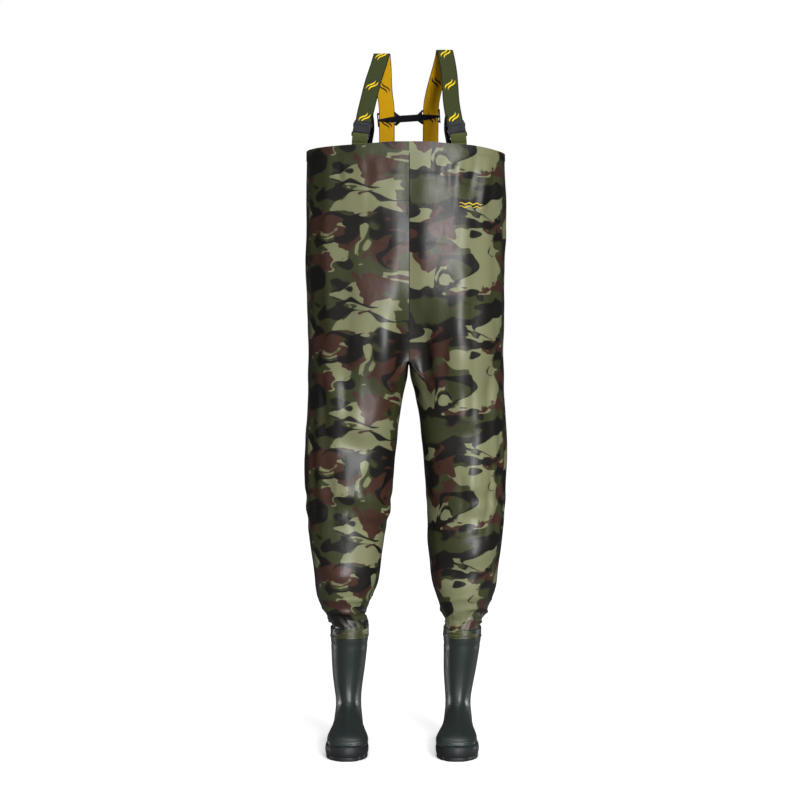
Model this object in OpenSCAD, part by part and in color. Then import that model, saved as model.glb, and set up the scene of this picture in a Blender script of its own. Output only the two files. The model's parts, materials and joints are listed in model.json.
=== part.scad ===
// Chest waders: PVC bib and legs welded to moulded boots, with clip-on elastic braces.
// Millimetres. The waders stand on their boots, front towards -Y, up is +Z, width is X.

/* [Garment] */
// Height of the top hem above the floor
hem_z = 1450; // [1380:5:1500]
// Half the width of the bib
bib_half_w = 244; // [230:1:256]
// Half the depth of the bib at the hem
bib_half_d = 140; // [132:1:148]
// Thickness of the garment walls
wall = 2; // [1.5:0.1:2.5]
// Width of the welded seam strips
seam_w = 12; // [8:1:16]
// Width of the inside pocket
pocket_w = 170; // [140:5:200]

/* [Braces] */
// Width of the webbing
web_w = 40; // [36:1:42]
// Thickness of the webbing
web_t = 2; // [1.6:0.1:2.2]
// Height of the top fold of the braces
apex_z = 1695; // [1680:5:1720]
// Distance of each top fold from the centre
apex_x = 77; // [70:1:84]
// Distance of each front tab from the centre
front_x = 119; // [112:1:124]
// Distance of each back run from the centre
back_x = 55; // [52:1:58]
// Place of the back bridge along the back run
bridge_v = 109; // [95:1:115]

/* [Boots] */
// Height of the boot top above the floor
boot_top = 285; // [278:1:285]
// Wall thickness of the moulded boot
boot_wall = 3; // [2.5:0.1:3.5]
// Depth of the tread blocks
tread = 8; // [6:0.5:10]
// Thickness of the whole sole
sole_t = 22; // [22:0.5:23]

/* [Hidden] */

// The garment sits this far behind the middle of the whole object, because the toes reach forward.
garment_y = 30;
// Squareness of the bib section and of the leg sections
bib_n = 2.5;
leg_n = 2.2;
// Columns round the outer arc and round the inner leg
arc_cells = 20;
in_cells = 10;
cols = arc_cells + in_cells;

// Garment sections from the hem down: height, inner x, outer x, half depth, y centre, roundness.
// Roundness 0 is half of the bib section, 1 is a closed oval leg.
bib_top = [
    [hem_z - 4, 0, bib_half_w, bib_half_d, 0, 0],
    [1380, 0, bib_half_w + 1, 143, 0, 0],
    [1300, 0, bib_half_w + 1, 147, 0, 0],
    [1200, 0, bib_half_w + 1, 150, 0, 0],
    [1120, 0, bib_half_w, 148, 0, 0],
    [1055, 0, 243, 145, 0, 0]
];
hip_rows = [
    [1055, 0, 243, 145, 0, 0],
    [1010, 0, 241, 142, 0, 0],
    [970, 0, 240, 135, 0, 0],
    [935, 0, 239, 124, 0, 0.002],
    [905, 4, 238, 124, 0, 0.4],
    [880, 9, 238, 125, 0, 0.75],
    [850, 14, 238, 125, 0, 1]
];
thigh_rows = [
    [850, 14, 238, 125, 0, 1],
    [790, 21, 239, 122, 0, 1],
    [730, 31, 242, 118, 0, 1],
    [690, 34, 243, 115, 0, 1],
    [650, 37, 244, 112, 0, 1]
];
knee_rows = [
    [650, 37, 244, 112, 0, 1],
    [620, 40, 245, 110, 0, 1],
    [570, 46, 243, 106, 0, 1],
    [530, 50, 240, 102, 0, 1],
    [490, 54, 235, 100, 0, 1]
];
shin_rows = [
    [490, 54, 235, 100, 0, 1],
    [458, 56, 232, 97, 0, 1],
    [420, 61, 228, 92, 0, 1],
    [384, 66, 223, 88, 1, 1],
    [360, 80, 216, 82, 3, 1],
    [335, 83, 206, 78, 4, 1]
];
cuff_rows = [
    [335, 83, 206, 78, 4, 1],
    [318, 84, 200, 76, 5, 1],
    [300, 87, 195, 73, 7, 1],
    [boot_top + 3, 90.2, 186.8, 69.8, 8, 1]
];
band_rows = [
    [boot_top + 3, 90.2, 186.8, 69.8, 8, 1],
    [boot_top - 12, 90.2, 186.8, 69.8, 8, 1],
    [boot_top - 24, 90.2, 186.8, 69.8, 8, 1]
];

// Boot rings from the top of the shaft to the toe. Each is the ring's front point, its back or
// bottom point, its half width, its x centre and the squareness of its lower half.
boot_rings = [
    [[-60, boot_top], [76, boot_top], 46.5, 138.5, 2.2],
    [[-58, 262], [74, 262], 46, 138.3, 2.2],
    [[-52, 220], [70, 220], 43, 137.5, 2.2],
    [[-46, 179], [67, 179], 39.5, 136.5, 2.2],
    [[-44, 140], [66, 138], 34.5, 135.5, 2.2],
    [[-47, 118], [70, 105], 31.5, 134.5, 2.3],
    [[-52, 106], [77, 76], 31.5, 134, 2.4],
    [[-60, 99], [83, 48], 33, 134, 2.7],
    [[-70, 93], [80, 24], 34.5, 134, 3],
    [[-85, 86], [50, 22], 35.5, 133.5, 3.4],
    [[-105, 78], [5, 22], 38, 133, 3.8],
    [[-128, 71], [-50, 22], 43, 132, 3.8],
    [[-150, 66], [-102, 22], 47, 131, 3.8],
    [[-172, 62], [-146, 22], 48.5, 130, 3.6],
    [[-188, 57], [-178, 23], 46, 130, 3],
    [[-200, 50], [-195, 25], 37, 130, 2.6],
    [[-206, 43], [-206, 31], 20, 130, 2.2]
];
ring_pts = 28;

// Half outline of the sole: y, half width on the inner side, half width on the outer side
sole_side = [
    [90, 0, 0], [89, 12, 12], [84, 23, 23], [74, 31, 31], [55, 36, 36], [25, 35, 36],
    [-10, 34, 37], [-50, 38, 42], [-90, 44, 48], [-125, 49, 52], [-150, 50, 52],
    [-170, 47, 49], [-186, 40, 42], [-198, 31, 32], [-207, 19, 19], [-211, 8, 8], [-212, 0, 0]
];
// The same for the insole, which lies inside the lining
insole_side = [
    [72, 0, 0], [71, 8, 12], [66, 13, 17], [55, 16.5, 22], [30, 21, 26], [-10, 25, 29],
    [-50, 29.5, 32], [-90, 33.5, 34], [-130, 35.5, 34.5], [-160, 33, 31], [-174, 27, 25],
    [-179, 19, 17], [-181, 0, 0]
];
sole_x = 131;

// Brace planes: the front runs lean back, the back runs lean forward, and both meet at the folds.
front_y = -119;
front_lean = atan2(-front_y, apex_z - (hem_z - 3));
front_len = norm([front_y, apex_z - (hem_z - 3)]);
tilt = atan2(front_x - apex_x, front_len);
back_y = 144;
back_z = hem_z + 2;
back_lean = atan2(back_y, apex_z - back_z);
back_len = norm([back_y, apex_z - back_z]);
bend_v = 150;
fold_gap = 7;
// Place of the buckle along the front run, and where the loose end leaves the buckle
buckle_v = 28;
tail_v = 46;
half_web = web_w / 2;

fabric_green = [0.36, 0.38, 0.25];
fabric_brown = [0.27, 0.2, 0.15];
webbing_olive = [0.22, 0.24, 0.12];
plastic_black = [0.06, 0.07, 0.08];
boot_green = [0.14, 0.17, 0.15];
sole_black = [0.1, 0.1, 0.11];

// ---- shared shapes ----

function mix(a, b, w) = a * (1 - w) + b * w;
function oval(a, b, n, t) = [
    a * sign(cos(t)) * pow(abs(cos(t)), 2 / n),
    b * sign(sin(t)) * pow(abs(sin(t)), 2 / n)
];

// Depth of the bib's outer surface at a distance x from the centre
function bib_depth(x, a, b) = b * pow(1 - pow(abs(x) / a, bib_n), 1 / bib_n);

// A point of a garment section, moved inwards by off
function bib_point(s, j, off) =
    j <= arc_cells
        ? let(q = oval(s[2] - s[1] - off, s[3] - off, bib_n, -90 + 180 * j / arc_cells))
          [s[1] + q[0] + (s[5] > 0 ? off : 0) * (1 - j * (arc_cells - j) * 4 / pow(arc_cells, 2)), q[1]]
        : [s[1] + off, (s[3] - off) * (1 - 2 * (j - arc_cells) / in_cells)];
function leg_angle(j) =
    j <= arc_cells ? -120 + 240 * j / arc_cells : 120 + 120 * (j - arc_cells) / in_cells;
function leg_point(s, j, off) =
    [(s[1] + s[2]) / 2, 0] + oval((s[2] - s[1]) / 2 - off, s[3] - off, leg_n, leg_angle(j));
function row_point(s, j, off) =
    let(q = mix(bib_point(s, j, off), leg_point(s, j, off), s[5]))
    [q[0], q[1] + s[4] + garment_y, s[0]];

// A closed shell between two grids of points. Cells that keep() refuses are left open.
module grid_shell(outer, inner, closed, keep = function(i, j) true) {
    rows = len(outer);
    n = len(outer[0]);
    cells = closed ? n : n - 1;
    half = rows * n;
    at = function(i, j) i * n + j % n;
    kept = function(i, j)
        i >= 0 && i < rows - 1 && (closed || (j >= 0 && j < cells)) && keep(i, (j + n) % n);
    quad = function(a, b, c, d) [[a, b, c], [a, c, d]];
    faces = [
        for (i = [0 : rows - 2], j = [0 : cells - 1])
            if (kept(i, j))
                let(a = at(i, j), b = at(i, j + 1), c = at(i + 1, j + 1), d = at(i + 1, j))
                each concat(
                    quad(a, b, c, d),
                    quad(half + a, half + d, half + c, half + b),
                    kept(i - 1, j) ? [] : quad(b, a, half + a, half + b),
                    kept(i + 1, j) ? [] : quad(d, c, half + c, half + d),
                    kept(i, j - 1) ? [] : quad(a, d, half + d, half + a),
                    kept(i, j + 1) ? [] : quad(c, b, half + b, half + c)
                )
    ];
    polyhedron([for (r = outer) each r, for (r = inner) each r], faces);
}

// Part of the garment: the outer arc only, or a closed tube
module garment(rows, last_col, closed, keep = function(i, j) true) {
    grid_shell(
        [for (s = rows) [for (j = [0 : last_col]) row_point(s, j, 0)]],
        [for (s = rows) [for (j = [0 : last_col]) row_point(s, j, wall)]],
        closed, keep
    );
}

// A band that follows the bib's surface between two x positions, from top to bottom
module on_bib(x0, x1, steps, heights, off_out, off_in, half_d = bib_half_d, side = -1) {
    at = function(x, z, off)
        [x, garment_y + side * (bib_depth(x, bib_half_w, half_d) + off), z];
    xs = [for (k = [0 : steps]) mix(x0, x1, k / steps)];
    grid_shell(
        [for (h = heights) [for (x = side < 0 ? xs : [for (k = [steps : -1 : 0]) xs[k]]) at(x, h, off_out)]],
        [for (h = heights) [for (x = side < 0 ? xs : [for (k = [steps : -1 : 0]) xs[k]]) at(x, h, off_in)]],
        false
    );
}

module left_side() {
    mirror([1, 0, 0])
        children();
}

// ---- bib ----

module bib_panel() {
    color(fabric_green)
        garment(bib_top, arc_cells, false);
}

module top_hem() {
    gap = 0.1;
    section = [
        [1.2, -24], [1.2, 0], [-3.4, 0], [-3.4, -24],
        [-wall - gap, -24], [-wall - gap, gap - 4], [gap, gap - 4], [gap, -24]
    ];
    count = len(section);
    steps = 2 * arc_cells;
    half_w = function(z) lookup(z, [for (s = bib_top) [s[0], s[2]]]);
    half_d = function(z) lookup(z, [for (s = bib_top) [s[0], s[3]]]);
    points = [
        for (k = [0 : steps - 1], p = section)
            let(z = hem_z + p[1], q = oval(half_w(z) + p[0], half_d(z) + p[0], bib_n, 360 * k / steps))
            [q[0], q[1] + garment_y, z]
    ];
    faces = [
        for (k = [0 : steps - 1], m = [0 : count - 1])
            let(
                a = k * count + m,
                b = k * count + (m + 1) % count,
                c = (k + 1) % steps * count + (m + 1) % count,
                d = (k + 1) % steps * count + m
            )
            each [[a, b, c], [a, c, d]]
    ];
    color(fabric_green)
        polyhedron(points, faces);
}

// Rows of [height, half depth] down the middle of the bib
seam_line = [for (s = concat(bib_top, [for (i = [1 : 3]) hip_rows[i]])) [s[0], s[3]]];

module seam_strip(side) {
    top = [[hem_z - 24.5, seam_line[0][1] + 1], for (i = [1 : len(seam_line) - 1]) seam_line[i]];
    across = side < 0 ? [-seam_w / 2, 0, seam_w / 2] : [seam_w / 2, 0, -seam_w / 2];
    color(fabric_green * 0.85)
        grid_shell(
            [for (p = top) [for (x = across) [x, garment_y + side * (p[1] + 1.4), p[0]]]],
            [for (p = top) [for (x = across) [x, garment_y + side * (p[1] + 0.05), p[0]]]],
            false
        );
}

module crotch_tape() {
    color(fabric_green * 0.7)
        translate([-seam_w / 2, garment_y - 117, 935.05])
            cube([seam_w, 234, 1.5]);
}

module inner_pocket() {
    heights = [1372, 1366, 1300, 1220, 1214];
    bulge = [0, 5, 8, 6, 0];
    steps = 10;
    depth = function(i) mix(143, 149, (1372 - heights[i]) / 158);
    off = function(i, k) -wall - 0.8 - (k == 0 || k == steps ? 0 : bulge[i]);
    at = function(i, k, extra)
        let(x = mix(-pocket_w / 2, pocket_w / 2, k / steps))
        [x, garment_y - bib_depth(x, bib_half_w + 1, depth(i)) - off(i, k) + extra, heights[i]];
    color([0.2, 0.21, 0.17])
        grid_shell(
            [for (i = [0 : 4]) [for (k = [0 : steps]) at(i, k, 0)]],
            [for (i = [0 : 4]) [for (k = [0 : steps]) at(i, k, 1.2)]],
            false
        );
}

// ---- legs ----

module hip_fabric() {
    color(fabric_brown)
        garment(hip_rows, cols - 1, true, function(i, j) j < arc_cells || i >= 3);
}

module thigh() {
    color(fabric_green)
        garment(thigh_rows, cols - 1, true);
}

module knee_fabric() {
    color(fabric_brown)
        garment(knee_rows, cols - 1, true);
}

module shin() {
    color(fabric_green)
        garment(shin_rows, cols - 1, true);
}

module cuff_fabric() {
    color(fabric_brown)
        garment(cuff_rows, cols - 1, true);
}

module weld_band() {
    at = function(s, j, a, b)
        let(q = oval(a, b, 2.2, leg_angle(j)))
        [138.5 + q[0], q[1] + 8 + garment_y, s[0]];
    color(fabric_green * 0.8)
        grid_shell(
            [for (s = band_rows) [for (j = [0 : cols - 1]) at(s, j, 48.3, 69.8)]],
            [for (s = band_rows) [for (j = [0 : cols - 1]) at(s, j, 46.9, 68.4)]],
            true
        );
}

// ---- boots ----

// A ring point, moved inwards by off. The toe rings also move back, so that the wall closes there.
function ring_point(k, j, off) =
    let(
        r = boot_rings[k],
        t = 360 * j / ring_pts,
        half = (r[1] - r[0]) / 2,
        inside = half * (1 - off / norm(half)),
        n = sin(t) > 0 ? r[4] : 2.2,
        mid = (r[0] + r[1]) / 2,
        c = sign(cos(t)) * pow(abs(cos(t)), 2 / n),
        s = sign(sin(t)) * pow(abs(sin(t)), 2 / n),
        toe = off * max(0, k - 11) / 5
    )
    [r[3] + (r[2] - off) * c, garment_y + mid[0] + inside[0] * s + toe, mid[1] + inside[1] * s];

module boot_shell(off_out, off_in) {
    rings = len(boot_rings);
    half = rings * ring_pts;
    last = rings - 1;
    points = [
        for (off = [off_out, off_in], k = [0 : last], j = [0 : ring_pts - 1]) ring_point(k, j, off)
    ];
    at = function(k, j) k * ring_pts + j % ring_pts;
    sides = [
        for (k = [0 : last - 1], j = [0 : ring_pts - 1])
            let(a = at(k, j), b = at(k, j + 1), c = at(k + 1, j + 1), d = at(k + 1, j))
            each [
                [a, b, c], [a, c, d],
                [half + a, half + c, half + b], [half + a, half + d, half + c]
            ]
    ];
    rim = [
        for (j = [0 : ring_pts - 1])
            let(a = at(0, j), b = at(0, j + 1))
            each [[b, a, half + a], [b, half + a, half + b]]
    ];
    toe = [
        for (j = [1 : ring_pts - 2])
            let(a = at(last, 0), b = at(last, j), c = at(last, j + 1))
            each [[a, b, c], [half + a, half + c, half + b]]
    ];
    polyhedron(points, concat(sides, rim, toe));
}

module boot_upper() {
    color(boot_green)
        boot_shell(0, boot_wall);
}

module boot_lining() {
    color([0.25, 0.27, 0.26])
        boot_shell(boot_wall + 0.1, boot_wall + 1.6);
}

module sole_shape(side, bottom, height) {
    outline = concat(
        [for (p = side) [-p[1], p[0]]],
        [for (k = [len(side) - 2 : -1 : 1]) [side[k][2], side[k][0]]]
    );
    translate([sole_x, garment_y, bottom])
        linear_extrude(height)
            polygon(outline);
}

module outsole() {
    pitch = 17;
    color(sole_black)
        difference() {
            sole_shape(sole_side, 0, sole_t - 0.05);
            // cross grooves between the tread blocks of the forefoot and the heel
            for (k = [0 : 7])
                translate([sole_x - 60, garment_y - 200 + pitch * k, -1])
                    cube([120, 6, tread + 1]);
            for (k = [0 : 2])
                translate([sole_x - 60, garment_y + 34 + pitch * k, -1])
                    cube([120, 6, tread + 1]);
            // raised waist
            translate([sole_x - 60, garment_y - 55, -1])
                cube([120, 72, tread + 1]);
            // lengthwise groove
            translate([sole_x - 3, garment_y - 215, -1])
                cube([6, 306, tread + 1]);
        }
}

module insole() {
    color([0.32, 0.33, 0.3])
        sole_shape(insole_side, 29, 4);
}

// ---- braces ----

module front_plane() {
    translate([0, garment_y + front_y, hem_z - 3])
        rotate([-front_lean, 0, 0])
            children();
}

module back_plane() {
    translate([0, garment_y + back_y, back_z])
        rotate([back_lean, 0, 0])
            children();
}

// A flat shape drawn in a brace plane, from one normal offset to another
module plate(from, to) {
    translate([0, to, 0])
        rotate([90, 0, 0])
            linear_extrude(to - from)
                children();
}

module buckle_frame() {
    front_plane()
        translate([front_x - buckle_v * tan(tilt), 0, buckle_v])
            rotate([0, -tilt, 0])
                children();
}

// World position of a point of the front brace plane
function front_point(u, n, v) = [
    u,
    garment_y + front_y + n * cos(front_lean) + v * sin(front_lean),
    hem_z - 3 - n * sin(front_lean) + v * cos(front_lean)
];
function run_x(v) = front_x - v * tan(tilt);

// Webbing that passes through a list of centre points, with its width along X
module ribbon(path, thick) {
    grid_shell(
        [for (p = path) [for (x = [-half_web, 0, half_web]) p[0] + [x, 0, 0] - p[1] * thick / 2]],
        [for (p = path) [for (x = [-half_web, 0, half_web]) p[0] + [x, 0, 0] + p[1] * thick / 2]],
        false
    );
}

module strap_front() {
    wide = half_web / cos(tilt);
    ends = [tail_v, front_len - fold_gap - 0.05];
    lean = [0, cos(front_lean), -sin(front_lean)];
    color(webbing_olive) {
        front_plane()
            plate(-web_t / 2, web_t / 2)
                polygon([
                    [run_x(ends[0]) - wide, ends[0]], [run_x(ends[0]) + wide, ends[0]],
                    [run_x(ends[1]) + wide, ends[1]], [run_x(ends[1]) - wide, ends[1]]
                ]);
        // loose end behind the buckle, curling inwards and down into the bib
        ribbon([
            [front_point(run_x(tail_v), 0, tail_v + 0.01), lean],
            [front_point(run_x(36) - 3, 2, 36), lean],
            [front_point(run_x(24) - 8, 6, 24), lean],
            [front_point(run_x(10) - 12, 11, 10), lean],
            [[105, garment_y - 103, 1428], [0, 1, 0]],
            [[107, garment_y - 98, 1400], [0, 1, 0]]
        ], web_t);
    }
}

module strap_back() {
    bent = atan2(apex_x - back_x, back_len - bend_v);
    wide = half_web / cos(bent);
    top = back_len - fold_gap - 0.05;
    top_x = back_x + (top - bend_v) * tan(bent);
    color([0.85, 0.6, 0.08])
        back_plane()
            plate(-web_t / 2, web_t / 2)
                polygon([
                    [back_x - half_web, 5], [back_x + half_web, 5], [back_x + half_web, bend_v],
                    [top_x + wide, top], [top_x - wide, top], [back_x - half_web, bend_v]
                ]);
}

module strap_fold() {
    f = [-fold_gap * sin(front_lean), -fold_gap * cos(front_lean)];
    b = [fold_gap * sin(back_lean), -fold_gap * cos(back_lean)];
    nf = [-cos(front_lean), sin(front_lean)] * web_t / 2;
    nb = [cos(back_lean), sin(back_lean)] * web_t / 2;
    wide = half_web / cos(tilt);
    color(webbing_olive)
        translate([apex_x - wide, garment_y, apex_z])
            rotate([90, 0, 90])
                linear_extrude(2 * wide)
                    polygon([
                        f - nf, f + nf, [-2.6, -1.2], [-1, 0], [1, 0], [2.6, -1.2],
                        b + nb, b - nb, [1.6, -3.4], [0, -2.6], [-1.6, -3.4]
                    ]);
}

module strap_anchor() {
    color(webbing_olive)
        on_bib(back_x - half_web, back_x + half_web, 4, [back_z, 1430, 1410, 1396], 5.8, 3.9, bib_half_d, 1);
}

module front_tab() {
    // one ply of webbing from the sewn end inside the hem up to the loop
    sewn = function(k, z, off)
        let(x = front_x - half_web + k * half_web / 2)
        [x, garment_y - bib_depth(x, bib_half_w, bib_half_d) + off, z];
    plane = function(k, n, v) front_point(run_x(v) - half_web + k * half_web / 2, n, v);
    ply = function(a, n)
        [
            [for (k = [0 : 4]) plane(k, n, 15)],
            [for (k = [0 : 4]) mix(sewn(k, hem_z + 6, a), plane(k, n, 10), 0.55)],
            [for (k = [0 : 4]) sewn(k, hem_z - 2, a)],
            [for (k = [0 : 4]) sewn(k, hem_z - 22, a)],
            [for (k = [0 : 4]) sewn(k, hem_z - 45, a)]
        ];
    color([0.28, 0.31, 0.15]) {
        grid_shell(ply(4.4, -4.2), ply(6.2, -1.6), false);
        // loop round the lower bar of the plug
        buckle_frame()
            translate([-half_web, 0, 0])
                rotate([90, 0, 90])
                    linear_extrude(web_w)
                        difference() {
                            polygon([
                                [-4.2, -13], [-11, -9], [-11, -3.6], [-1.2, -3.6], [-1.2, -9], [-1.6, -13]
                            ]);
                            polygon([[-3.6, -11], [-9.75, -8.6], [-9.75, -5.2], [-2.3, -5.2], [-2.3, -9.3]]);
                        }
    }
}

module buckle_plug() {
    color(plastic_black)
        buckle_frame() {
            difference() {
                translate([-22, -9.5, -8.5])
                    cube([44, 7, 7.9]);
                // slot for the tab
                translate([-20.5, -10, -5.4])
                    cube([41, 8, 2.4]);
                // the lower bar is thinner, so that the webbing clears it
                translate([-23, -2.55, -9])
                    cube([46, 1, 4]);
            }
            translate([-4, -8.3, -0.7])
                cube([8, 4.4, 19]);
            for (side = [-1, 1])
                translate([side * 15.9 - 1.1, -8.3, -0.7])
                    cube([2.2, 4.4, 4]);
        }
}

// One squeeze arm; side is 1 for the arm further from the middle of the object
module latch(side) {
    color(plastic_black * 1.4)
        buckle_frame()
            plate(-8.2, -4.1)
                polygon([
                    for (p = [
                        [10.4, 0.2], [13.2, 0.2], [14.8, 7.8], [19.6, 8.9],
                        [19.6, 12], [15.6, 20.5], [13, 20.5], [12, 9]
                    ])
                        [side * p[0], p[1]]
                ]);
}

module buckle_socket() {
    color(plastic_black)
        buckle_frame() {
            difference() {
                translate([-20.5, -10.5, 0])
                    cube([41, 8.9, 32]);
                // cavity for the plug
                translate([-17.8, -8.9, -1])
                    cube([35.6, 5.5, 24]);
                // side windows for the squeeze arms
                for (side = [-1, 1])
                    translate([side * 19.5 - 2, -8.5, 8])
                        cube([4, 4.7, 10]);
                // shallow panel on the front
                translate([-13, -11, 6])
                    cube([26, 1.1, 16]);
            }
            // keeper round the strap
            for (side = [-1, 1])
                translate([side * 21.7 - 1.3, -4.5, 22])
                    cube([2.6, 8, 8]);
            translate([-23, 1.5, 22])
                cube([46, 2, 8]);
        }
}

module back_bridge() {
    color(plastic_black)
        back_plane()
            translate([0, 0, bridge_v]) {
                plate(-4.2, -1.4)
                    polygon([[-22, -8.8], [22, -8.8], [22, 8.8], [-22, 8.8]]);
                for (side = [-1, 1])
                    mirror([side < 0 ? 1 : 0, 0, 0]) {
                        // shoulder and tapered middle bar over the strap
                        plate(-4.2, -1.4)
                            polygon([
                                [22, -8.8], [32, -17.5], [34.4, -17.5], [34.4, -8], [77, -2.5],
                                [77, 2.5], [34.4, 8], [34.4, 17.5], [32, 17.5], [22, 8.8]
                            ]);
                        // posts on both sides of the strap
                        for (x = [32, 75.6])
                            translate([x, -4.2, -17.5])
                                cube([x < 50 ? 2.4 : 3.2, 8.2, 35]);
                        // rails behind the strap
                        for (z = [-17.5, 12.5])
                            translate([32, 1.4, z])
                                cube([46.8, 2.6, 5]);
                    }
            }
}

// ---- sub-parts ----

left_side() bib_panel();  // bib_panel_left
bib_panel();  // bib_panel_right
top_hem();
seam_strip(-1);  // centre_front_seam
seam_strip(1);  // centre_back_seam
crotch_tape();
inner_pocket();
left_side() front_tab();  // front_tab_left
front_tab();  // front_tab_right
left_side() buckle_plug();  // buckle_plug_left
buckle_plug();  // buckle_plug_right
left_side() latch(1);  // latch_left_outer
left_side() latch(-1);  // latch_left_inner
latch(1);  // latch_right_outer
latch(-1);  // latch_right_inner
left_side() strap_anchor();  // strap_anchor_left
strap_anchor();  // strap_anchor_right
left_side() strap_back();  // strap_back_left
strap_back();  // strap_back_right
left_side() strap_fold();  // strap_fold_left
strap_fold();  // strap_fold_right
left_side() strap_front();  // strap_front_left
strap_front();  // strap_front_right
back_bridge();
left_side() buckle_socket();  // buckle_socket_left
buckle_socket();  // buckle_socket_right
left_side() hip_fabric();  // hip_fabric_left
hip_fabric();  // hip_fabric_right
left_side() thigh();  // thigh_left
thigh();  // thigh_right
left_side() knee_fabric();  // knee_fabric_left
knee_fabric();  // knee_fabric_right
left_side() shin();  // shin_left
shin();  // shin_right
left_side() cuff_fabric();  // cuff_fabric_left
cuff_fabric();  // cuff_fabric_right
left_side() weld_band();  // weld_band_left
weld_band();  // weld_band_right
left_side() boot_upper();  // boot_upper_left
boot_upper();  // boot_upper_right
left_side() boot_lining();  // boot_lining_left
boot_lining();  // boot_lining_right
left_side() insole();  // insole_left
insole();  // insole_right
left_side() outsole();  // outsole_left
outsole();  // outsole_right
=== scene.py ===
"""Chest waders: the looks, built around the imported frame. Metres, front towards -Y, +Z up."""
import json
import math

import bmesh
import bpy
import mathutils.noise
import numpy as np
from mathutils import Matrix, Vector
from mathutils.bvhtree import BVHTree

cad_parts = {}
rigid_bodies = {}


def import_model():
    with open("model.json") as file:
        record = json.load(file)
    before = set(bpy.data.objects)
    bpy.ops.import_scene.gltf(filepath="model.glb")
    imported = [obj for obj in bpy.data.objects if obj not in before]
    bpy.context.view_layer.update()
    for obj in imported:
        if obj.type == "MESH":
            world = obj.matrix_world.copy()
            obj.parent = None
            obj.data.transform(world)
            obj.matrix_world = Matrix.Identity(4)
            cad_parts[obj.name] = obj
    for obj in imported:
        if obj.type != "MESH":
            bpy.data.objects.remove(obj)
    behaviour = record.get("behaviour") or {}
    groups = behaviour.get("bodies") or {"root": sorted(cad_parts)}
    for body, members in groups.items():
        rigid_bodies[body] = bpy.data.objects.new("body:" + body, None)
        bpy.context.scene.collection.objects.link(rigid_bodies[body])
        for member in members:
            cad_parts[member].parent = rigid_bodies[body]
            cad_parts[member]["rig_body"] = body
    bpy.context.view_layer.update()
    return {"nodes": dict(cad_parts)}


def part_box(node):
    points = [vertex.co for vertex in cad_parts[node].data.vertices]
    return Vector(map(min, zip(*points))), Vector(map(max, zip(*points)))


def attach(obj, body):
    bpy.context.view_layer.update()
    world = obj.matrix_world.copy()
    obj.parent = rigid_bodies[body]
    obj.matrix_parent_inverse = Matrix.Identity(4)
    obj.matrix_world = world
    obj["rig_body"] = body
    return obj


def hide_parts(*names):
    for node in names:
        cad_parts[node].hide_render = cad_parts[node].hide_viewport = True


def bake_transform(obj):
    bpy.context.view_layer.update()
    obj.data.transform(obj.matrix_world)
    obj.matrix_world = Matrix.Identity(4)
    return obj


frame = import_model()
SIDES = {"left": -1, "right": 1}

# ---- driving sizes ----

GARMENT_Y = 0.030
HEM_Z = 1.450
CROTCH_Z = 0.935
BOOT_TOP_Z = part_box("boot_upper_left")[1][2]
WELD_LOW_Z = BOOT_TOP_Z - 0.024
FABRIC_T = 0.0014
ARC_CELLS = 56
INNER_CELLS = 24
RING = ARC_CELLS + INNER_CELLS
ROW_STEP = 0.0105
BIB_SQUARE = 2.5
LEG_SQUARE = 2.2
# Places where the garment is cut into pieces
KNEE_CUT_Z = 0.680
SHIN_CUT_Z = 0.440
# Height of the hem's lower edge, half width of the centre seams, and the pocket that shows through
HEM_LOW_Z = HEM_Z - 0.026
SEAM_HALF_W = 0.0055
# Half width of the near-black painted shade line down the middle of each centre seam
SEAM_LINE_HALF_W = 0.0010
POCKET_Z = 1.293
HEM_LIFT = 0.0011
# Bulges and hollows of the hanging front: x, z, half sizes across and along, turn in degrees, height
DENTS = [
    (-0.061, 0.955, 0.050, 0.085, 4, 0.020), (0.140, 0.945, 0.060, 0.095, -6, 0.020),
    (0.030, 0.950, 0.026, 0.115, 0, -0.021), (-0.020, 0.935, 0.018, 0.100, 0, -0.010),
    (0.050, 1.210, 0.075, 0.120, 0, 0.010), (-0.120, 1.200, 0.060, 0.100, 0, -0.006),
    (0.150, 1.370, 0.009, 0.050, -10, -0.006), (0.176, 1.335, 0.011, 0.070, -8, 0.005),
    (0.196, 1.345, 0.008, 0.060, -8, -0.004), (-0.165, 1.380, 0.010, 0.040, 6, -0.004),
    (-0.100, 0.595, 0.055, 0.022, -22, 0.010), (-0.105, 0.545, 0.060, 0.018, -22, -0.008),
    (0.150, 0.645, 0.030, 0.050, 15, 0.010), (0.110, 0.565, 0.045, 0.024, 10, -0.009),
    (0.165, 0.475, 0.045, 0.030, 25, 0.010), (-0.170, 0.420, 0.040, 0.024, -15, 0.008),
    (0.120, 0.425, 0.034, 0.018, 20, -0.007), (-0.125, 0.725, 0.050, 0.026, -18, -0.007),
    (-0.120, 0.775, 0.055, 0.028, -18, 0.008), (0.130, 0.805, 0.040, 0.036, 20, 0.008),
    (0.110, 0.750, 0.045, 0.022, 18, -0.007), (-0.190, 0.880, 0.030, 0.060, 12, 0.006),
    (0.185, 0.860, 0.024, 0.070, -10, -0.006), (-0.150, 1.070, 0.040, 0.060, 20, -0.006),
]
POCKET_HALF_W = 0.086
POCKET_HALF_H = 0.079

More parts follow.
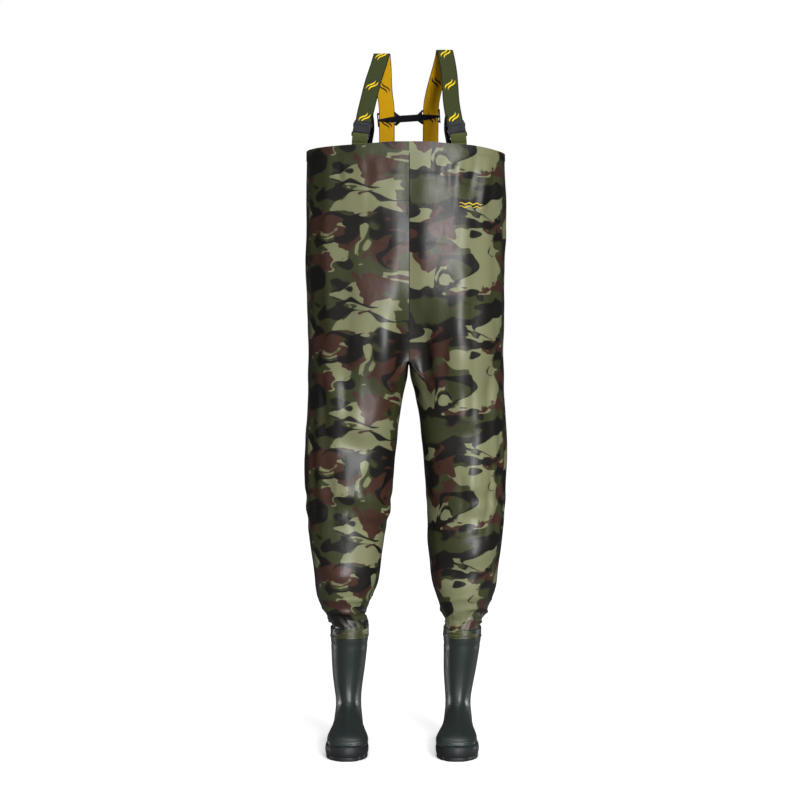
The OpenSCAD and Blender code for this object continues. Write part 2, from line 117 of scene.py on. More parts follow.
# Boot rings in millimetres, top of the shaft to toe: front point y, z, back or bottom point y, z, half width,
# x centre and squareness of the lower half
BOOT_RINGS = [
    (-60, 285, 76, 285, 46.5, 138.5, 2.2), (-58, 262, 74, 262, 46, 138.3, 2.2),
    (-52, 220, 70, 220, 43, 137.5, 2.2), (-46, 179, 67, 179, 39.5, 136.5, 2.2),
    (-44, 140, 66, 138, 34.5, 135.5, 2.2), (-47, 118, 70, 105, 31.5, 134.5, 2.3),
    (-52, 106, 77, 76, 31.5, 134, 2.4), (-60, 99, 83, 48, 33, 134, 2.7),
    (-70, 93, 80, 24, 34.5, 134, 3), (-85, 86, 50, 22, 35.5, 133.5, 3.4),
    (-105, 78, 5, 22, 38, 133, 3.8), (-128, 71, -50, 22, 43, 132, 3.8),
    (-150, 66, -102, 22, 47, 131, 3.8), (-172, 62, -146, 22, 48.5, 130, 3.6),
    (-188, 57, -178, 23, 46, 130, 3), (-200, 50, -195, 25, 37, 130, 2.6),
    (-206, 43, -206, 31, 20, 130, 2.2),
]
BOOT_POINTS = 80
SOLE_X = 0.131
FOOT_X = 0.132
# Half outlines of the sole and the insole: y, half width on the inner side, half width on the outer side
SOLE_SIDE = [
    (90, 0, 0), (89, 12, 12), (84, 23, 23), (74, 31, 31), (55, 36, 36), (25, 35, 36),
    (-10, 34, 37), (-50, 38, 42), (-90, 44, 48), (-125, 49, 52), (-150, 50, 52), (-170, 47, 49),
    (-186, 40, 42), (-198, 31, 32), (-207, 19, 19), (-211, 8, 8), (-212, 0, 0),
]
INSOLE_SIDE = [
    (72, 0, 0), (71, 8, 12), (66, 13, 17), (55, 16.5, 22), (30, 21, 26), (-10, 25, 29),
    (-50, 29.5, 32), (-90, 33.5, 34), (-130, 35.5, 34.5), (-160, 33, 31), (-174, 27, 25), (-179, 19, 17),
    (-181, 0, 0),
]

# Braces: the front plane leans back, the back plane leans forward, and both end at the top folds
APEX_X, APEX_Z = 0.077, 1.695
FRONT_X, FRONT_DEPTH, FRONT_LOW_Z = 0.119, 0.119, HEM_Z - 0.003
FRONT_LEAN = math.atan2(FRONT_DEPTH, APEX_Z - FRONT_LOW_Z)
FRONT_LENGTH = math.hypot(FRONT_DEPTH, APEX_Z - FRONT_LOW_Z)
TILT = math.atan2(FRONT_X - APEX_X, FRONT_LENGTH)
BACK_X, BACK_DEPTH, BACK_LOW_Z = 0.055, 0.144, HEM_Z + 0.002
BACK_LEAN = math.atan2(BACK_DEPTH, APEX_Z - BACK_LOW_Z)
BACK_LENGTH = math.hypot(BACK_DEPTH, APEX_Z - BACK_LOW_Z)
BEND_V = 0.150
BRIDGE_V = 0.109
BRIDGE_TURN = math.radians(4)
STRAP_LOW_V = 0.042
BACK_START_V = 0.004
FOLD_R = 0.009
# The two top folds don't sit alike: how far each is moved in x and z
TOP_SHIFT = {"left": (0.011, -0.005), "right": (0.010, 0.004)}
MARK_REPEAT = 0.095
MARK_Z = 1.302

STRAP_W = 0.0400
BIB_HALF_W = 0.244
BIB_HALF_D = 0.141
STITCH_STEP = 0.0032

CAMO_REPEAT = 0.285
CAMO = {
    "sage": (0.220, 0.226, 0.118), "olive": (0.044, 0.049, 0.017), "brown": (0.058, 0.023, 0.015),
    "dark": (0.0080, 0.0068, 0.0055),
}

CAMERA_AT = (-0.022, -3.97, 0.840)
CAMERA_LENS = 73.5
WORLD_LIGHT = 0.07
# Strength of the floor's painted glow next to the waders
FLOOR_GLOW = 0.78
SOFTBOXES = [
    ("key", (1.10, -3.15, 1.80), (0.05, 0, 1.0), (1.15, 1.6), 88, 180),
    ("fill", (-2.5, -2.0, 1.5), (0, 0, 0.8), (1.0, 2.0), 4, 180),
    ("top", (0.2, -0.6, 3.5), (0, 0, 0.6), (1.6, 1.6), 32, 180),
    ("low", (0.7, -3.0, 0.40), (0, 0, 0.15), (1.1, 0.6), 4.5, 60),
    ("side_left", (-1.6, 0.8, 0.10), (0, 0, 0.10), (0.5, 0.25), 0.16, 18),
    ("side_right", (1.6, 0.8, 0.10), (0, 0, 0.10), (0.5, 0.25), 0.16, 18),
]

# One outline for both halves, in millimetres, by the few heights where its shape turns: outer edge, inner
# edge of the leg, and depth. Each ends as the boot top's ring plus BAND_GAP.
BAND_GAP = 1.7
BAND_FRONT, BAND_BACK, BAND_HALF_W, BAND_X = (BOOT_RINGS[0][k] for k in (0, 2, 4, 5))
BAND_DEPTH = (BAND_BACK - BAND_FRONT) / 2 + BAND_GAP
BAND_Y = (BAND_FRONT + BAND_BACK) / 2000
BAND_Z = 288
OUTER_EDGE = [(1450, 242), (1200, 245), (940, 238), (640, 246), (460, 232), (360, 216), (310, 197),
              (BAND_Z, BAND_X + BAND_HALF_W + BAND_GAP), (260, BAND_X + BAND_HALF_W + BAND_GAP)]
INNER_EDGE = [(935, 0), (850, 14), (680, 35), (460, 57), (380, 68), (340, 82),
              (BAND_Z, BAND_X - BAND_HALF_W - BAND_GAP), (260, BAND_X - BAND_HALF_W - BAND_GAP)]
DEPTHS = [(1450, 141), (1200, 152), (1010, 148), (900, 131), (780, 122), (620, 111), (460, 98), (360, 88),
          (BAND_Z, BAND_DEPTH), (260, BAND_DEPTH)]
# How far the bib and the lower legs hang towards -X
SIDE_LEAN = 0.008
# The right half is cut from another place of the printed cloth
RIGHT_CUT = (0.37, 0.045)
CLOTH_FRAMES = 50


# ---- small helpers ----

def smoothstep(low, high, x):
    t = np.clip((np.asarray(x, float) - low) / (high - low), 0, 1)
    return t * t * (3 - 2 * t)


def mesh_object(name, verts, faces, materials=()):
    mesh = bpy.data.meshes.new(name)
    mesh.from_pydata([tuple(map(float, v)) for v in verts], [], [tuple(map(int, f)) for f in faces])
    mesh.update()
    for material in materials:
        mesh.materials.append(material)
    mesh.polygons.foreach_set("use_smooth", [True] * len(mesh.polygons))
    return linked(name, mesh)


def linked(name, data):
    """A new object in the scene with that data."""
    obj = bpy.data.objects.new(name, data)
    bpy.context.collection.objects.link(obj)
    return obj


def baked(name, bm, material=None):
    """A new object from a bmesh, which is freed."""
    mesh = bpy.data.meshes.new(name)
    bm.to_mesh(mesh)
    bm.free()
    if material:
        mesh.materials.append(material)
    return linked(name, mesh)


def evaluated_copy(obj, name):
    """A new object whose mesh is obj as its modifiers leave it."""
    depsgraph = bpy.context.evaluated_depsgraph_get()
    return linked(name, bpy.data.meshes.new_from_object(obj.evaluated_get(depsgraph)))


def part_of(piece, body=None, nodes=()):
    """Gives a piece its body and hides the CAD nodes that it stands for."""
    if body:
        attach(piece, body)
    if nodes:
        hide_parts(*nodes)


def ring_faces(rings, n):
    """Quads between closed rings of n points."""
    return [(k * n + j, k * n + (j + 1) % n, (k + 1) * n + (j + 1) % n, (k + 1) * n + j)
            for k in range(rings - 1) for j in range(n)]


def lengths_along(points):
    """Distance along a line of points, from its first."""
    return np.concatenate([[0], np.cumsum(np.linalg.norm(np.diff(points, axis=0), axis=1))])


def drop(obj):
    bpy.data.objects.remove(obj, do_unlink=True)


def vertex_array(mesh):
    co = np.empty(len(mesh.vertices) * 3, np.float32)
    mesh.vertices.foreach_get("co", co)
    return co.reshape(-1, 3).astype(float)


def normal_array(mesh):
    no = np.empty(len(mesh.vertices) * 3, np.float32)
    mesh.vertex_normals.foreach_get("vector", no)
    return no.reshape(-1, 3).astype(float)


def oval(a, b, square, angle):
    c, s = np.cos(angle), np.sin(angle)
    return a * np.sign(c) * np.abs(c) ** (2 / square), b * np.sign(s) * np.abs(s) ** (2 / square)


# ---- garment ----

def curve(knots, at):
    """A smooth curve through knots of height and value in millimetres, read at some heights in metres."""
    x, y = np.array(sorted(knots), float).T / 1000
    slope = np.gradient(y, x)
    i = np.clip(np.searchsorted(x, at) - 1, 0, len(x) - 2)
    step = x[i + 1] - x[i]
    t = np.clip((at - x[i]) / step, 0, 1)
    ends = (1 + 2 * t) * (1 - t) ** 2 * y[i] + t * t * (3 - 2 * t) * y[i + 1]
    return ends + step * t * (1 - t) * ((1 - t) * slope[i] - t * slope[i + 1])


def section_rows(side):
    """Heights of the rows, and at each the inner x, outer x, front and back depth, y centre and roundness.

    Roundness 0 is half of the bib's section, 1 is a closed oval leg.
    """
    heights = np.arange(HEM_Z, WELD_LOW_Z - 0.001, -ROW_STEP)
    band_z = BAND_Z / 1000
    towards = -SIDES[side] * SIDE_LEAN
    x_in = np.where(heights < CROTCH_Z, np.maximum(curve(INNER_EDGE, heights), 0), 0)
    x_in = x_in + towards * smoothstep(0.60, 0.46, heights) * smoothstep(band_z, 0.330, heights)
    x_out = curve(OUTER_EDGE, heights) + towards * smoothstep(band_z, 0.360, heights)
    depth = curve(DEPTHS, heights)
    y_mid = BAND_Y * smoothstep(0.385, band_z, heights)
    return heights, np.stack([x_in, x_out, depth, depth, y_mid, smoothstep(CROTCH_Z, 0.850, heights)], 1)


def ring_row(values):
    """The points of one row: the outer arc from the front seam to the back seam, then the inner leg."""
    x_in, x_out, front, back, y_mid, round_ = values
    arc = np.linspace(-math.pi / 2, math.pi / 2, ARC_CELLS + 1)
    depth = np.where(arc < 0, front, back)
    bx, by = oval(x_out - x_in, depth, BIB_SQUARE, arc)
    line = np.linspace(1, -1, INNER_CELLS + 1)[1:-1]
    bib = np.stack([
        np.concatenate([bx + x_in, np.full(line.size, x_in)]),
        np.concatenate([by, line * np.where(line < 0, front, back)]),
    ], 1)
    out_angle = np.radians(-120 + 240 * np.arange(ARC_CELLS + 1) / ARC_CELLS)
    in_angle = np.radians(120 + 120 * np.arange(1, INNER_CELLS) / INNER_CELLS)
    angle = np.concatenate([out_angle, in_angle])
    depth = np.where(np.sin(angle) < 0, front, back)
    ex, ey = oval((x_out - x_in) / 2, depth, LEG_SQUARE, angle)
    leg = np.stack([ex + (x_in + x_out) / 2, ey], 1)
    points = bib * (1 - round_) + leg * round_
    points[:, 1] += y_mid + GARMENT_Y
    return points


def slack(heights):
    """How much longer the cut fabric is than the space it hangs in, at each height."""
    more = 0.008 + 0.03 * smoothstep(0.98, 0.80, heights) + 0.05 * smoothstep(0.52, 0.40, heights)
    return more + 0.10 * smoothstep(0.37, 0.34, heights) * smoothstep(0.27, 0.285, heights)


def shape_front(points, heights, sign):
    """Thigh bulges on the front, and the hollow between them above the crotch."""
    x, y = points[..., 0], points[..., 1]
    z = np.broadcast_to(heights[:, None], x.shape)
    front = smoothstep(0.02, -0.09, y - GARMENT_Y)
    hollow = np.exp(-(x / 0.055) ** 2) * smoothstep(1.12, 0.98, z) * smoothstep(0.80, 0.93, z)
    thigh = np.exp(-(((x * sign) - 0.115) / 0.07) ** 2) * np.exp(-((z - 0.96) / 0.13) ** 2)
    knee = np.exp(-(((x * sign) - 0.15) / 0.07) ** 2) * np.exp(-((z - 0.60) / 0.07) ** 2)
    points[..., 1] += front * (0.030 * hollow - 0.016 * thigh - 0.010 * knee)
    return points


def garment_grid():
    """Both halves as one welded mesh, with the cloth coordinates, row and side of each vertex."""
    verts, faces, cloth, rows_of, sides_of = [], [], [], [], []
    index = {}
    for side, sign in SIDES.items():
        heights, values = section_rows(side)
        points = np.stack([ring_row(v) for v in values])
        points = shape_front(points * [sign, 1], heights, sign)
        crotch = int(np.argmin(np.abs(heights - CROTCH_Z)))
        # cloth coordinates: u from the outermost column, v down from the hem along the cut fabric
        step = np.linalg.norm(np.diff(points, axis=1, append=points[:, :1]), axis=2)
        length = np.concatenate([np.zeros((len(heights), 1)), np.cumsum(step, 1)[:, :-1]], 1)
        u = length - length[:, ARC_CELLS // 2][:, None]
        around = length[:, -1] + step[:, -1]
        grow = 1 + slack(heights)
        v = np.concatenate([[0], np.cumsum(ROW_STEP * (grow[1:] + grow[:-1]) / 2)])
        for i in range(len(heights)):
            for j in range(RING):
                if j > ARC_CELLS and i < crotch:
                    continue
                seam = (j in (0, ARC_CELLS) and i <= crotch) or (i == crotch and j > ARC_CELLS)
                key = ("seam", i, j) if seam else (side, i, j)
                if key not in index:
                    index[key] = len(verts)
                    x = 0.0 if seam else points[i, j, 0]
                    verts.append((x, points[i, j, 1], heights[i]))
                    rows_of.append(i)
                    sides_of.append(0 if seam else sign)
                    cloth.append((u[i, j], v[i]))
        get = lambda i, j: index.get((side, i, j % RING), index.get(("seam", i, j % RING)))
        for i in range(len(heights) - 1):
            for j in range(RING):
                if j >= ARC_CELLS and i < crotch:
                    continue
                quad = (get(i, j), get(i + 1, j), get(i + 1, j + 1), get(i, j + 1))
                turns = 1 if j >= ARC_CELLS + INNER_CELLS // 2 else 0
                uv = [(u[a, b % RING] + (b // RING - turns) * around[a], v[a])
                      for a, b in ((i, j), (i + 1, j), (i + 1, j + 1), (i, j + 1))]
                if sign < 0:
                    quad, uv = quad[::-1], uv[::-1]
                faces.append((quad, uv, sign))
    return np.array(verts), faces, np.array(cloth), np.array(rows_of), np.array(sides_of), len(heights)


def build_garment():
    """The whole garment, draped: hung from its hem and held by the boot tops, with slack for folds."""
    verts, faces, cloth, rows_of, sides_of, n_rows = garment_grid()
    obj = mesh_object("garment_whole", verts, [f[0] for f in faces])
    mesh = obj.data
    layer = mesh.uv_layers.new(name="cloth")
    flat = [c for f in faces for c in f[1]]
    layer.data.foreach_set("uv", np.array(flat, np.float32).ravel())
    half = mesh.attributes.new("half", "INT", "FACE")
    half.data.foreach_set("value", [f[2] for f in faces])

    obj.shape_key_add(name="hung")
    cut = obj.shape_key_add(name="cut")
    cut.value = 0
    rest = verts.copy()
    rest[:, 2] = HEM_Z - cloth[:, 1]
    cut.data.foreach_set("co", rest.astype(np.float32).ravel())

    held = obj.vertex_groups.new(name="held")
    for row in (0, 1, n_rows - 1, n_rows - 2, n_rows - 3):
        held.add([int(k) for k in np.where(rows_of == row)[0]], 1.0, "REPLACE")
    crotch = (sides_of == 0) & (rows_of == rows_of[sides_of == 0].max())
    held.add([int(k) for k in np.where(crotch)[0]], 0.9, "REPLACE")
    drape(obj, cut)
    draped = evaluated_copy(obj, "garment_draped")
    drop(obj)
    calm_bib(draped.data)
    return draped, sides_of


def calm_bib(mesh):
    """Takes the narrow upright ripples out of the bib, less and less towards the legs."""
    bm = bmesh.new()
    bm.from_mesh(mesh)
    for turn in range(14):
        chosen = [v for v in bm.verts if 0.94 + 0.012 * turn < v.co.z < HEM_Z - 0.015]
        bmesh.ops.smooth_vert(bm, verts=chosen, factor=0.5, use_axis_y=True)
    bm.to_mesh(mesh)
    bm.free()


def drape(obj, cut):
    """Hangs the cut cloth from its held rows, slightly blown out, for CLOTH_FRAMES steps."""
    cloth = obj.modifiers.new("drape", "CLOTH")
    settings = cloth.settings
    for name, value in {
        "quality": 5, "mass": 0.35, "tension_stiffness": 35, "compression_stiffness": 35,
        "shear_stiffness": 18, "bending_stiffness": 1.4, "tension_damping": 12, "compression_damping": 12,
        "shear_damping": 8, "bending_damping": 1.5, "air_damping": 2.0, "vertex_group_mass": "held",
        "pin_stiffness": 1,
        "rest_shape_key": cut, "use_pressure": True, "uniform_pressure_force": 1.6,
    }.items():
        setattr(settings, name, value)
    settings.effector_weights.gravity = 0.8
    cloth.collision_settings.use_collision = False
    for number in range(1, CLOTH_FRAMES + 1):
        bpy.context.scene.frame_set(number)


def held_width(z, values, heights, smooth=7):
    """Edge of the draped cloth at each of some heights: the largest value in a window, smoothed."""
    levels = np.arange(WELD_LOW_Z, HEM_Z + 0.01, 0.01)
    edge = np.array([values[np.abs(z - level) < 0.013].max(initial=-1) for level in levels])
    good = edge > -1
    edge = np.interp(levels, levels[good], edge[good])
    kernel = np.hanning(smooth + 2)[1:-1]
    edge = np.convolve(np.pad(edge, smooth // 2, mode="edge"), kernel / kernel.sum(), mode="valid")
    return np.interp(heights, levels, edge)


def fit_to_sections(co, sides_of):
    """Brings the draped halves back to the width and depth of their sections and keeps their folds."""
    for side, sign in SIDES.items():
        heights, values = section_rows(side)
        own = sides_of == sign
        x, y, z = co[own, 0] * sign, co[own, 1] - GARMENT_Y, co[own, 2]
        want = [np.interp(z, heights[::-1], values[::-1, k]) for k in range(5)]
        leg = smoothstep(0.905, 0.86, z)
        now_in, now_out = -held_width(z, -x, z) * leg, held_width(z, x, z)
        want_in = want[0] * leg
        x = want_in + (x - now_in) * (want[1] - want_in) / (now_out - now_in)
        y -= want[4]
        front, back = held_width(z, -y, z), held_width(z, y, z)
        y = np.where(y < 0, y * np.clip(want[2] / front, 0.6, 1.15), y * np.clip(want[3] / back, 0.6, 1.15))
        co[own, 0], co[own, 1] = x * sign, y + want[4] + GARMENT_Y
    return co


def surface_details(co, normals):
    """Relief on the draped cloth: the pocket showing through, folds, dents, gathers and crumpling."""
    x, y, z = co.T
    front = smoothstep(GARMENT_Y + 0.01, GARMENT_Y - 0.05, y)
    out_x, out_z = np.abs(x) - POCKET_HALF_W, np.abs(z - POCKET_Z) - POCKET_HALF_H
    edge = np.abs(np.where((out_x > 0) & (out_z > 0), np.hypot(out_x, out_z), np.maximum(out_x, out_z)))
    lift = 0.0012 * np.exp(-(edge / 0.0045) ** 2) * front
    for sign in SIDES.values():
        across = x - sign * 0.119
        below = np.clip((HEM_LOW_Z - z) / 0.16, 0, None)
        fade = smoothstep(0.0, 0.2, below) * np.exp(-below * 1.6) * np.exp(-(across / 0.055) ** 2)
        fold = 0.5 + 0.5 * np.cos(2 * math.pi * (across + 0.016 * sign * below) / 0.040)
        lift += (0.0060 if sign > 0 else 0.0040) * fade * front * fold
        lift += 0.0034 * front * np.exp(-(across / 0.030) ** 2 - ((z - HEM_Z + 0.018) / 0.030) ** 2)
    for x0, z0, rx, rz, turn, depth in DENTS:
        c, s = math.cos(math.radians(turn)), math.sin(math.radians(turn))
        a, b = (x - x0) * c + (z - z0) * s, (z - z0) * c - (x - x0) * s
        lift += front * depth * np.exp(-(a / rx) ** 2 - (b / rz) ** 2)
    free = smoothstep(HEM_LOW_Z, HEM_LOW_Z - 0.10, z) * smoothstep(0.292, 0.312, z)
    seam = smoothstep(0.0, 0.02, np.abs(x))
    crumple = np.array([
        mathutils.noise.noise((px * 11, py * 11, pz * 8)) * 0.0042
        + mathutils.noise.noise((px * 26 + 7, py * 26, pz * 19)) * 0.0016
        for px, py, pz in co
    ])
    lift += crumple * free * (0.35 + 0.65 * seam)
    lift += gathers(x, y, z)
    return co + normals * lift[:, None] + boot_lean(co) - hem_droop(x, z)[:, None] * [0, 0, 1]


def hem_droop(x, z):
    """The top edge hangs lower towards the sides, most at the wearer's left."""
    side = 0.006 * smoothstep(0.03, 0.13, np.abs(x))
    side += np.where(x > 0, 0.008, 0.001) * smoothstep(0.14, 0.235, np.abs(x))
    return side * smoothstep(HEM_Z - 0.14, HEM_Z - 0.01, z)


def boot_lean(co):
    """The boots stand slightly to one side of the trouser legs: the sideways shift of each point."""
    x, y, z = co.T
    low = smoothstep(0.28, 0.12, z)
    turn = np.where(x > 0, 0.035, 0.008) * np.maximum(0, GARMENT_Y - y)
    return np.stack([-0.0075 * smoothstep(0.42, 0.28, z) - low * (0.0065 + turn), 0 * y, 0 * z], 1)


def lean_boots():
    """Moves the pieces on the boots as boot_lean says. CAD nodes are left as they are."""
    for obj in bpy.data.objects:
        if obj.name not in frame["nodes"] and obj.get("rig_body", "").startswith("boot_"):
            turned = obj.matrix_world
            back = turned.inverted()
            for vertex in obj.data.vertices:
                place = turned @ vertex.co
                vertex.co = back @ (place + Vector(boot_lean(np.array([place]))[0]))


def gathers(x, y, z):
    """Slanting folds where the wide trouser leg is bunched onto the boot."""
    sign = np.sign(x)
    turn = np.arctan2(y - GARMENT_Y - 0.008, np.abs(x) - 0.138)
    wave = 0.75 * np.sin(2 * turn + 1.3 * sign) + 0.45 * np.sin(3 * turn - 0.8 + 2.1 * sign)
    phase = 2 * math.pi * z / 0.030 + 1.7 * wave
    ridge = 1 - 2 * np.abs(np.sin(phase / 2 + 0.4 * np.sin(phase)))
    window = smoothstep(0.286, 0.302, z) * smoothstep(0.395, 0.325, z)
    patchy = 0.55 + 0.45 * np.sin(turn * 2 + 2.4 * sign + z * 40)
    knee = smoothstep(0.50, 0.55, z) * smoothstep(0.66, 0.60, z)
    knee *= smoothstep(0.4, -0.7, np.sin(turn) + 0.2 * sign)
    broad = np.sin(2 * math.pi * z / 0.055 + 2.2 * wave)
    return 0.0048 * window * patchy * ridge + 0.0022 * knee * broad


def cut_garment(draped):
    """Refines the draped mesh, cuts it along the joint planes and returns it as arrays."""
    sub = draped.modifiers.new("refine", "SUBSURF")
    sub.levels = sub.render_levels = 1
    fine = evaluated_copy(draped, "garment_fine")
    drop(draped)
    co = surface_details(vertex_array(fine.data), normal_array(fine.data))
    fine.data.vertices.foreach_set("co", co.astype(np.float32).ravel())
    bm = bmesh.new()
    bm.from_mesh(fine.data)
    for height in (HEM_LOW_Z, KNEE_CUT_Z, SHIN_CUT_Z):
        bmesh.ops.bisect_plane(bm, geom=bm.verts[:] + bm.edges[:] + bm.faces[:], dist=1e-5,
                               plane_co=(0, 0, height), plane_no=(0, 0, 1))
    for x in (-SEAM_HALF_W, -SEAM_LINE_HALF_W, SEAM_LINE_HALF_W, SEAM_HALF_W):
        bmesh.ops.bisect_plane(bm, geom=bm.verts[:] + bm.edges[:] + bm.faces[:], dist=1e-5,
                               plane_co=(x, 0, 0), plane_no=(1, 0, 0))
    bm.normal_update()
    bm.verts.index_update()
    uv_layer = bm.loops.layers.uv["cloth"]
    half_layer = bm.faces.layers.int["half"]
    shift = {SIDES["left"]: Vector((0, 0)), SIDES["right"]: Vector(RIGHT_CUT)}
    cloth = {
        "co": np.array([v.co for v in bm.verts]),
        "no": np.array([v.normal for v in bm.verts]),
        "faces": [[v.index for v in f.verts] for f in bm.faces],
        "uv": [[tuple(loop[uv_layer].uv + shift[f[half_layer]]) for loop in f.loops] for f in bm.faces],
        "half": np.array([f[half_layer] for f in bm.faces]),
        "mid": np.array([f.calc_center_median() for f in bm.faces]),
    }
    bm.free()
    drop(fine)
    return cloth


def shell_piece(name, cloth, chosen, out, inn, materials):
    """A closed shell over the chosen faces of the cloth, from out above the surface to inn below it."""
    faces = [cloth["faces"][k] for k in chosen]
    uvs = [cloth["uv"][k] for k in chosen]
    used = sorted({v for f in faces for v in f})
    local = {v: i for i, v in enumerate(used)}
    co, no = cloth["co"][used], cloth["no"][used]
    n = len(used)
    outer = [[local[v] for v in f] for f in faces]
    edges = {}
    for f, uv in zip(outer, uvs):
        for k in range(len(f)):
            a, b = f[k], f[(k + 1) % len(f)]
            edges[(a, b)] = (uv[k], uv[(k + 1) % len(f)])
    all_faces = outer + [[v + n for v in f[::-1]] for f in outer]
    all_uvs = uvs + [uv[::-1] for uv in uvs]
    slots = [0] * len(outer) + [1] * len(outer)
    for (a, b), (ua, ub) in edges.items():
        if (b, a) not in edges:
            all_faces.append([b, a, a + n, b + n])
            all_uvs.append([ub, ua, ua, ub])
            slots.append(0)
    verts = np.concatenate([co + no * out, co - no * inn])
    obj = mesh_object(name, verts, all_faces, materials)
    mesh = obj.data
    mesh.polygons.foreach_set("material_index", slots)
    layer = mesh.uv_layers.new(name="cloth")
    layer.data.foreach_set("uv", np.array([c for uv in all_uvs for c in uv], np.float32).ravel())
    mesh.normals_split_custom_set_from_vertices(np.concatenate([no, -no]).tolist())
    return obj


def make_garment(materials):
    """All the pieces cut from the coated fabric."""
    camo, lining, tape, groove = materials
    draped, sides_of = build_garment()
    co = fit_to_sections(vertex_array(draped.data), sides_of)
    draped.data.vertices.foreach_set("co", co.astype(np.float32).ravel())
    cloth = cut_garment(draped)
    for side, sign in SIDES.items():
        make_half(cloth, side, sign, (camo, lining))
    make_hem_and_seams(cloth, camo, groove)
    make_inside(cloth, lining, tape)
    return cloth


def make_half(cloth, side, sign, materials):
    """One half of the bib and its leg, in three pieces cut at two heights."""
    own, z = cloth["half"] == sign, cloth["mid"][:, 2]
    hip, knee, shin, boot = "bib", f"upper_leg_{side}", f"lower_leg_{side}", f"boot_{side}"
    levels = (
        ("upper", z > KNEE_CUT_Z, ("bib_panel", "hip_fabric", "thigh"), (hip, knee),
         ((0, GARMENT_Y, CROTCH_Z), (sign * 0.1, GARMENT_Y, CROTCH_Z - 0.174)), "top_hem_band"),
        ("middle", (z < KNEE_CUT_Z) & (z > SHIN_CUT_Z), ("knee_fabric", "shin"), (knee, shin),
         ((0, 0, 0.655), (0, 0, 0.475)), f"garment_upper_{side}"),
        ("lower", z < SHIN_CUT_Z, ("cuff_fabric", "weld_band"), (shin, boot),
         ((0, 0, 0.350), (0, 0, 0.290)), f"garment_middle_{side}"),
    )
    for level, inside, nodes, bodies, bend, held_by in levels:
        chosen = np.where(own & inside)[0]
        piece = shell_piece(f"garment_{level}_{side}", cloth, chosen, 0, FABRIC_T, materials)
        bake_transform(piece)
        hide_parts(*(f"{node}_{side}" for node in nodes))


def make_hem_and_seams(cloth, camo, groove):
    """The band round the top edge and the two centre seams, each seam with a near-black line along its middle
    that is painted shade of the seam's groove.
    """
    mid, z = cloth["mid"], cloth["mid"][:, 2]
    chosen = np.where(z > HEM_LOW_Z)[0]
    hem = shell_piece("top_hem_band", cloth, chosen, HEM_LIFT, FABRIC_T + HEM_LIFT, (camo, camo))
    lift_top_edge(hem)
    part_of(hem, "bib", ["top_hem"])
    strip = (np.abs(mid[:, 0]) < SEAM_HALF_W) & (z > CROTCH_Z) & (z < HEM_LOW_Z)
    for place, there in (("front", mid[:, 1] < GARMENT_Y), ("back", mid[:, 1] > GARMENT_Y)):
        chosen = np.where(strip & there)[0]
        seam = shell_piece(f"centre_{place}_seam_strip", cloth, chosen, 0.0007, 0.0002, (camo, camo, groove))
        # The middle faces take the near-black material: painted shade along the seam.
        line = np.abs(mid[chosen, 0]) < SEAM_LINE_HALF_W
        for polygon, dark in zip(seam.data.polygons, line):
            polygon.material_index = 2 if dark else 0
        part_of(seam, "bib", [f"centre_{place}_seam"])


def make_inside(cloth, lining, tape):
    """The inside pocket, and the tape over the end of the centre seam at the crotch."""
    mid, co = cloth["mid"], cloth["co"]
    inside = (np.abs(mid[:, 0]) < POCKET_HALF_W) & (np.abs(mid[:, 2] - POCKET_Z) < POCKET_HALF_H)
    pocket = shell_piece("pocket_inside", cloth, np.where(inside & (mid[:, 1] < GARMENT_Y))[0],
                         -FABRIC_T - 0.0012, FABRIC_T + 0.0022, (lining, lining))
    part_of(pocket, "bib", ["inner_pocket"])
    line = co[np.abs(co[:, 0]) < 1e-4]
    line = line[line[:, 2] < line[:, 2].min() + 0.03]
    line = line[np.argsort(line[:, 1])]
    depth = np.linspace(line[0, 1] + 0.004, line[-1, 1] - 0.004, 40)
    centres = [(0, y, np.interp(y, line[:, 1], line[:, 2]) + 0.0032) for y in depth]
    strip = ribbon("crotch_tape_strip", centres, [(0, 0, 1)] * len(centres), [tape] * 3, width=0.012,
                   thickness=0.0012)
    part_of(strip, "bib", ["crotch_tape"])


def lift_top_edge(obj):
    """The turned edge stands a little above the cut edge of the panels inside it."""
    for v in obj.data.vertices:
        if v.co.z > HEM_Z - 0.002 - hem_droop(v.co.x, HEM_Z):
            v.co.z += 0.0012


# ---- boots ----

def spline(table, factor):
    """Rows of a table joined by a smooth curve, with factor steps between them."""
    table = np.asarray(table, float)
    padded = np.vstack([2 * table[0] - table[1], table, 2 * table[-1] - table[-2]])
    rows = []
    for k in range(len(table) - 1):
        p0, p1, p2, p3 = padded[k:k + 4]
        for t in np.arange(factor) / factor:
            rows.append(0.5 * (2 * p1 + (p2 - p0) * t + (2 * p0 - 5 * p1 + 4 * p2 - p3) * t ** 2
                               + (3 * p1 - p0 - 3 * p2 + p3) * t ** 3))
    rows.append(table[-1])
    return np.array(rows)


def boot_skin(off):
    """The boot's rings as an array of points, moved inwards by off metres."""
    rings = spline(BOOT_RINGS, 7)
    count = len(rings)
    angle = 2 * math.pi * np.arange(BOOT_POINTS) / BOOT_POINTS
    s, c = np.sin(angle), np.cos(angle)
    points = np.zeros((count, BOOT_POINTS, 3))
    for k, (fy, fz, by, bz, half_w, x_mid, square) in enumerate(rings / np.array([1000] * 6 + [1])):
        front, back = np.array([fy, fz]), np.array([by, bz])
        half, mid = (back - front) / 2, (back + front) / 2
        half = half * max(0.02, 1 - off / np.linalg.norm(half))
        power = 2 / np.where(s > 0, square, 2.2)
        across = np.sign(c) * np.abs(c) ** power
        along = np.sign(s) * np.abs(s) ** power
        toe = off * max(0, k / 7 - 11) / 5
        points[k, :, 0] = x_mid + max(0.001, half_w - off) * across
        points[k, :, 1] = GARMENT_Y + mid[0] + half[0] * along + toe
        points[k, :, 2] = mid[1] + half[1] * along
    return points


def grid_mesh(name, points, material):
    """A tube of rings, with its last ring closed by a fan."""
    rings, n = points.shape[:2]
    return mesh_object(name, capped(points), capped_faces(rings, n), [material])


